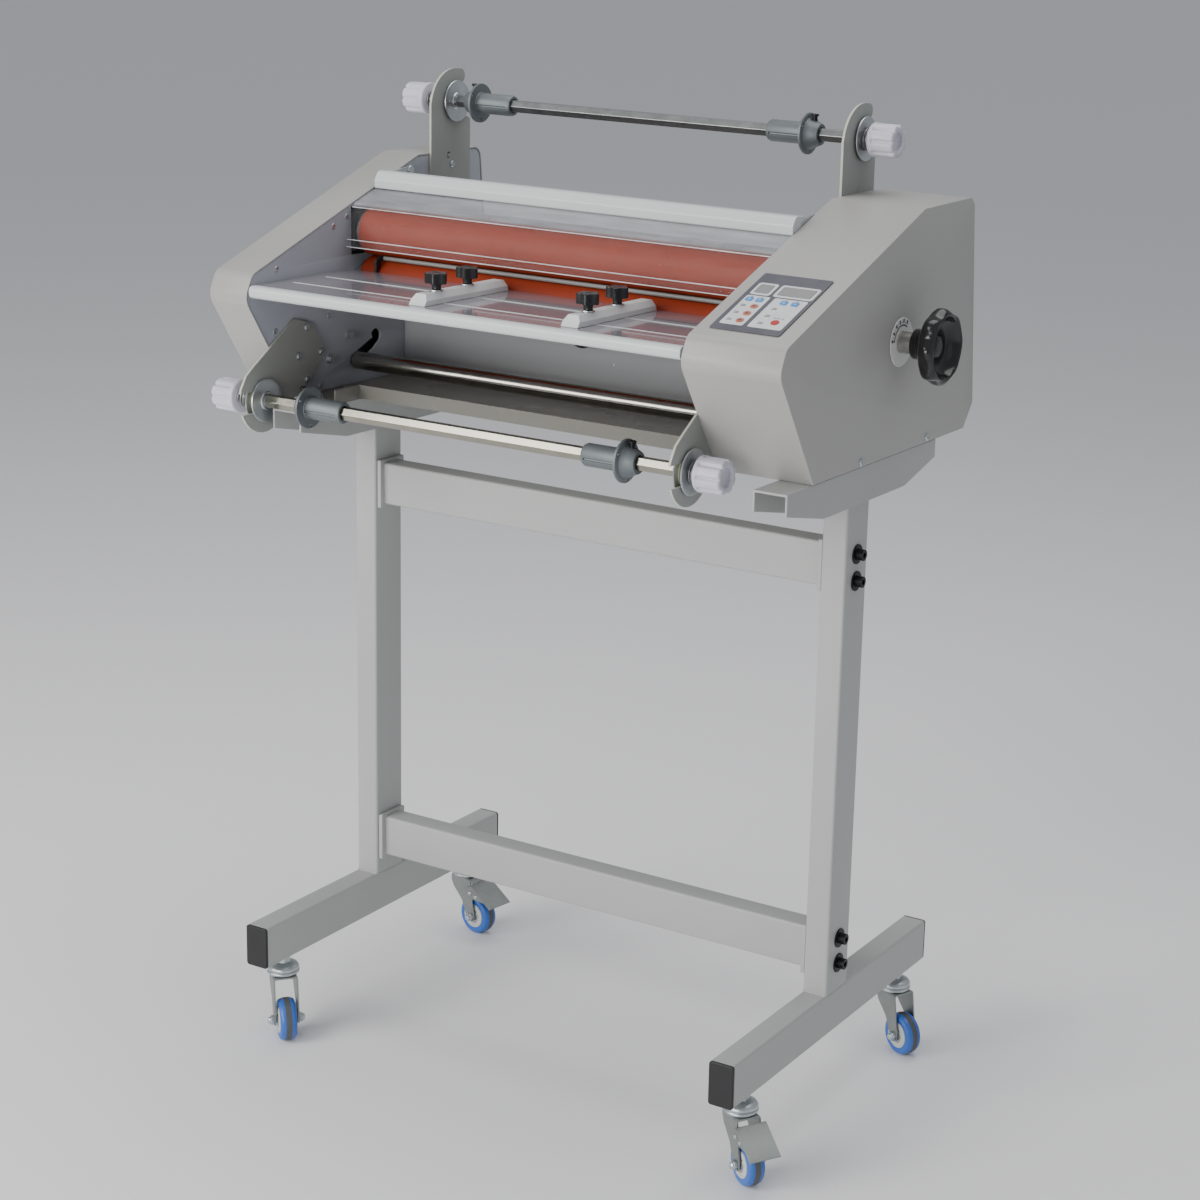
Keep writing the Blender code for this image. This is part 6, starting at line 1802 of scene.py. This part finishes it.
# --- Core chucks ----------------------------------------------------------------------
# Cast chucks that slide on the hexagon bars: a tapered sleeve, a flange with three holes and a
# clamping collar with a slanted set screw.
CAST_GREY = surfaced("chuck casting", WORKED_METAL, (0.17, 0.19, 0.20), {"Gloss Floor": 0.34, "Cloud": 0.20},
                     (0.3, 0.0003), 0.6)
for level, centre in SUPPLY.items():
    for index, (side, word) in enumerate(((-1, "left"), (1, "right"))):
        flange_x = CHUCK_X[level][index]
        collar = COLLAR[level][index]
        body = f"{level}_chuck_{word}_set"
        sleeve = flange_x - side * 0.0480
        profile = [(0.0083, sleeve), (0.0112, sleeve), (0.0125, sleeve + side * 0.0026),
                   (0.0125, flange_x - side * 0.0008),
                   (0.0132, flange_x), (0.0231, flange_x), (0.0235, flange_x + side * 0.0004),
                   (0.0235, flange_x + side * 0.0026),
                   (0.0231, flange_x + side * 0.0030), (0.0185, flange_x + side * 0.0040),
                   (0.0165, flange_x + side * 0.0064),
                   (0.0150, flange_x + side * 0.0110), (0.0126, flange_x + side * (collar - 0.0014)),
                   (0.0118, flange_x + side * collar), (0.0083, flange_x + side * collar)]
        chuck = creased(lathed(f"{level}_{word}_chuck", profile, "X", centre, 72, CAST_GREY, closed=True))
        for hole in range(3):
            turned = math.tau * (hole + 0.25) / 3
            spot = (centre[0] + 0.0200 * math.cos(turned), centre[1] + 0.0200 * math.sin(turned))
            boolean(chuck, pushed("hole", circle(spot, 0.0020, 20), "X", flange_x - 0.02, flange_x + 0.02,
                                  CAST_GREY), "DIFFERENCE")
        for rib in range(3):
            turned = math.tau * (rib + 0.58) / 3
            spot = (centre[0] + 0.0125 * math.cos(turned), centre[1] + 0.0125 * math.sin(turned))
            low, high = sorted((sleeve + side * 0.004, flange_x - side * 0.001))
            boolean(chuck, pushed("groove", circle(spot, 0.0016, 16), "X", low, high, CAST_GREY),
                    "DIFFERENCE")
        settle(creased(chuck), body, "cast_grey", f"{level}_chuck_{word}")
        y, z = centre
        screw = [(0.0, z + 0.0130), (0.0030, z + 0.0130), (0.0030, z + 0.0200), (0.0044, z + 0.0202),
                 (0.0044, z + 0.0221),
                 (0.0038, z + 0.0226), (0.0020, z + 0.0226), (0.0020, z + 0.0212), (0.0, z + 0.0212)]
        settle(creased(lathed(f"{level}_{word}_set_screw", screw, "Z", (flange_x + side * 0.0090, y), 32,
                              BOLT_BLACK)), body,
               "black_plastic")


# --- Tension knobs --------------------------------------------------------------------
# Lavender-white fluted knobs screwed on the threaded ends of the bars, with a round recess in
# the outer face and a skirt ring on the inner one.
def fluted(centre, radius, depth, flutes, steps):
    """A round outline with narrow flutes pressed into it."""
    outline = []
    for step in range(steps):
        turned = math.tau * step / steps
        groove = max(0.0, math.cos(flutes * turned)) ** 2
        outline.append((centre[0] + (radius - depth * groove) * math.cos(turned),
                        centre[1] + (radius - depth * groove) * math.sin(turned)))
    return outline


KNOB_R = 0.0195
KNOB_BORE = 0.0063
KNOB_WHITE = surfaced("tension knob nylon", MOULDED_SKIN, (0.60, 0.58, 0.66),
                      {"Grain": 1000.0, "Gloss Floor": 0.30, "Smudge": 0.16},
                      (0.12, 0.0002))
for level, centre in SUPPLY.items():
    for index, (side, word) in enumerate(((-1, "left"), (1, "right"))):
        face_x = PLATE_LEFT if side < 0 else PLATE_RIGHT
        start = face_x - side * 0.0003 + side * KNOB_GAP[level][index]
        end = start + side * KNOB_L
        rings = [(start + side * 0.0210, KNOB_BORE, 0.0), (start, KNOB_BORE, 0.0), (start, 0.0178, 0.0),
                 (start + side * 0.0010, 0.0190, 0.0), (start + side * 0.0022, KNOB_R, 0.0),
                 (start + side * 0.0042, KNOB_R, 0.0),
                 (start + side * 0.0052, 0.0190, 0.3), (start + side * 0.0066, 0.0187, 1.0),
                 (end - side * 0.0024, 0.0187, 1.0),
                 (end - side * 0.0008, 0.0180, 1.0), (end, 0.0166, 0.9), (end, 0.0114, 0.0),
                 (end - side * 0.0006, 0.0108, 0.0),
                 (end - side * 0.0040, 0.0102, 0.0), (end - side * 0.0046, 0.0090, 0.0),
                 (end - side * 0.0042, 0.0030, 0.0)]
        grip = ringed(f"{level}_{word}_grip", "X",
                      [(along, fluted(centre, radius, share * 0.0026, 8, 128)) for along, radius,
                       share in rings],
                      KNOB_WHITE)
        settle(creased(grip, 50.0), f"{level}_knob_{word}_set", "knob_white", f"{level}_knob_{word}")
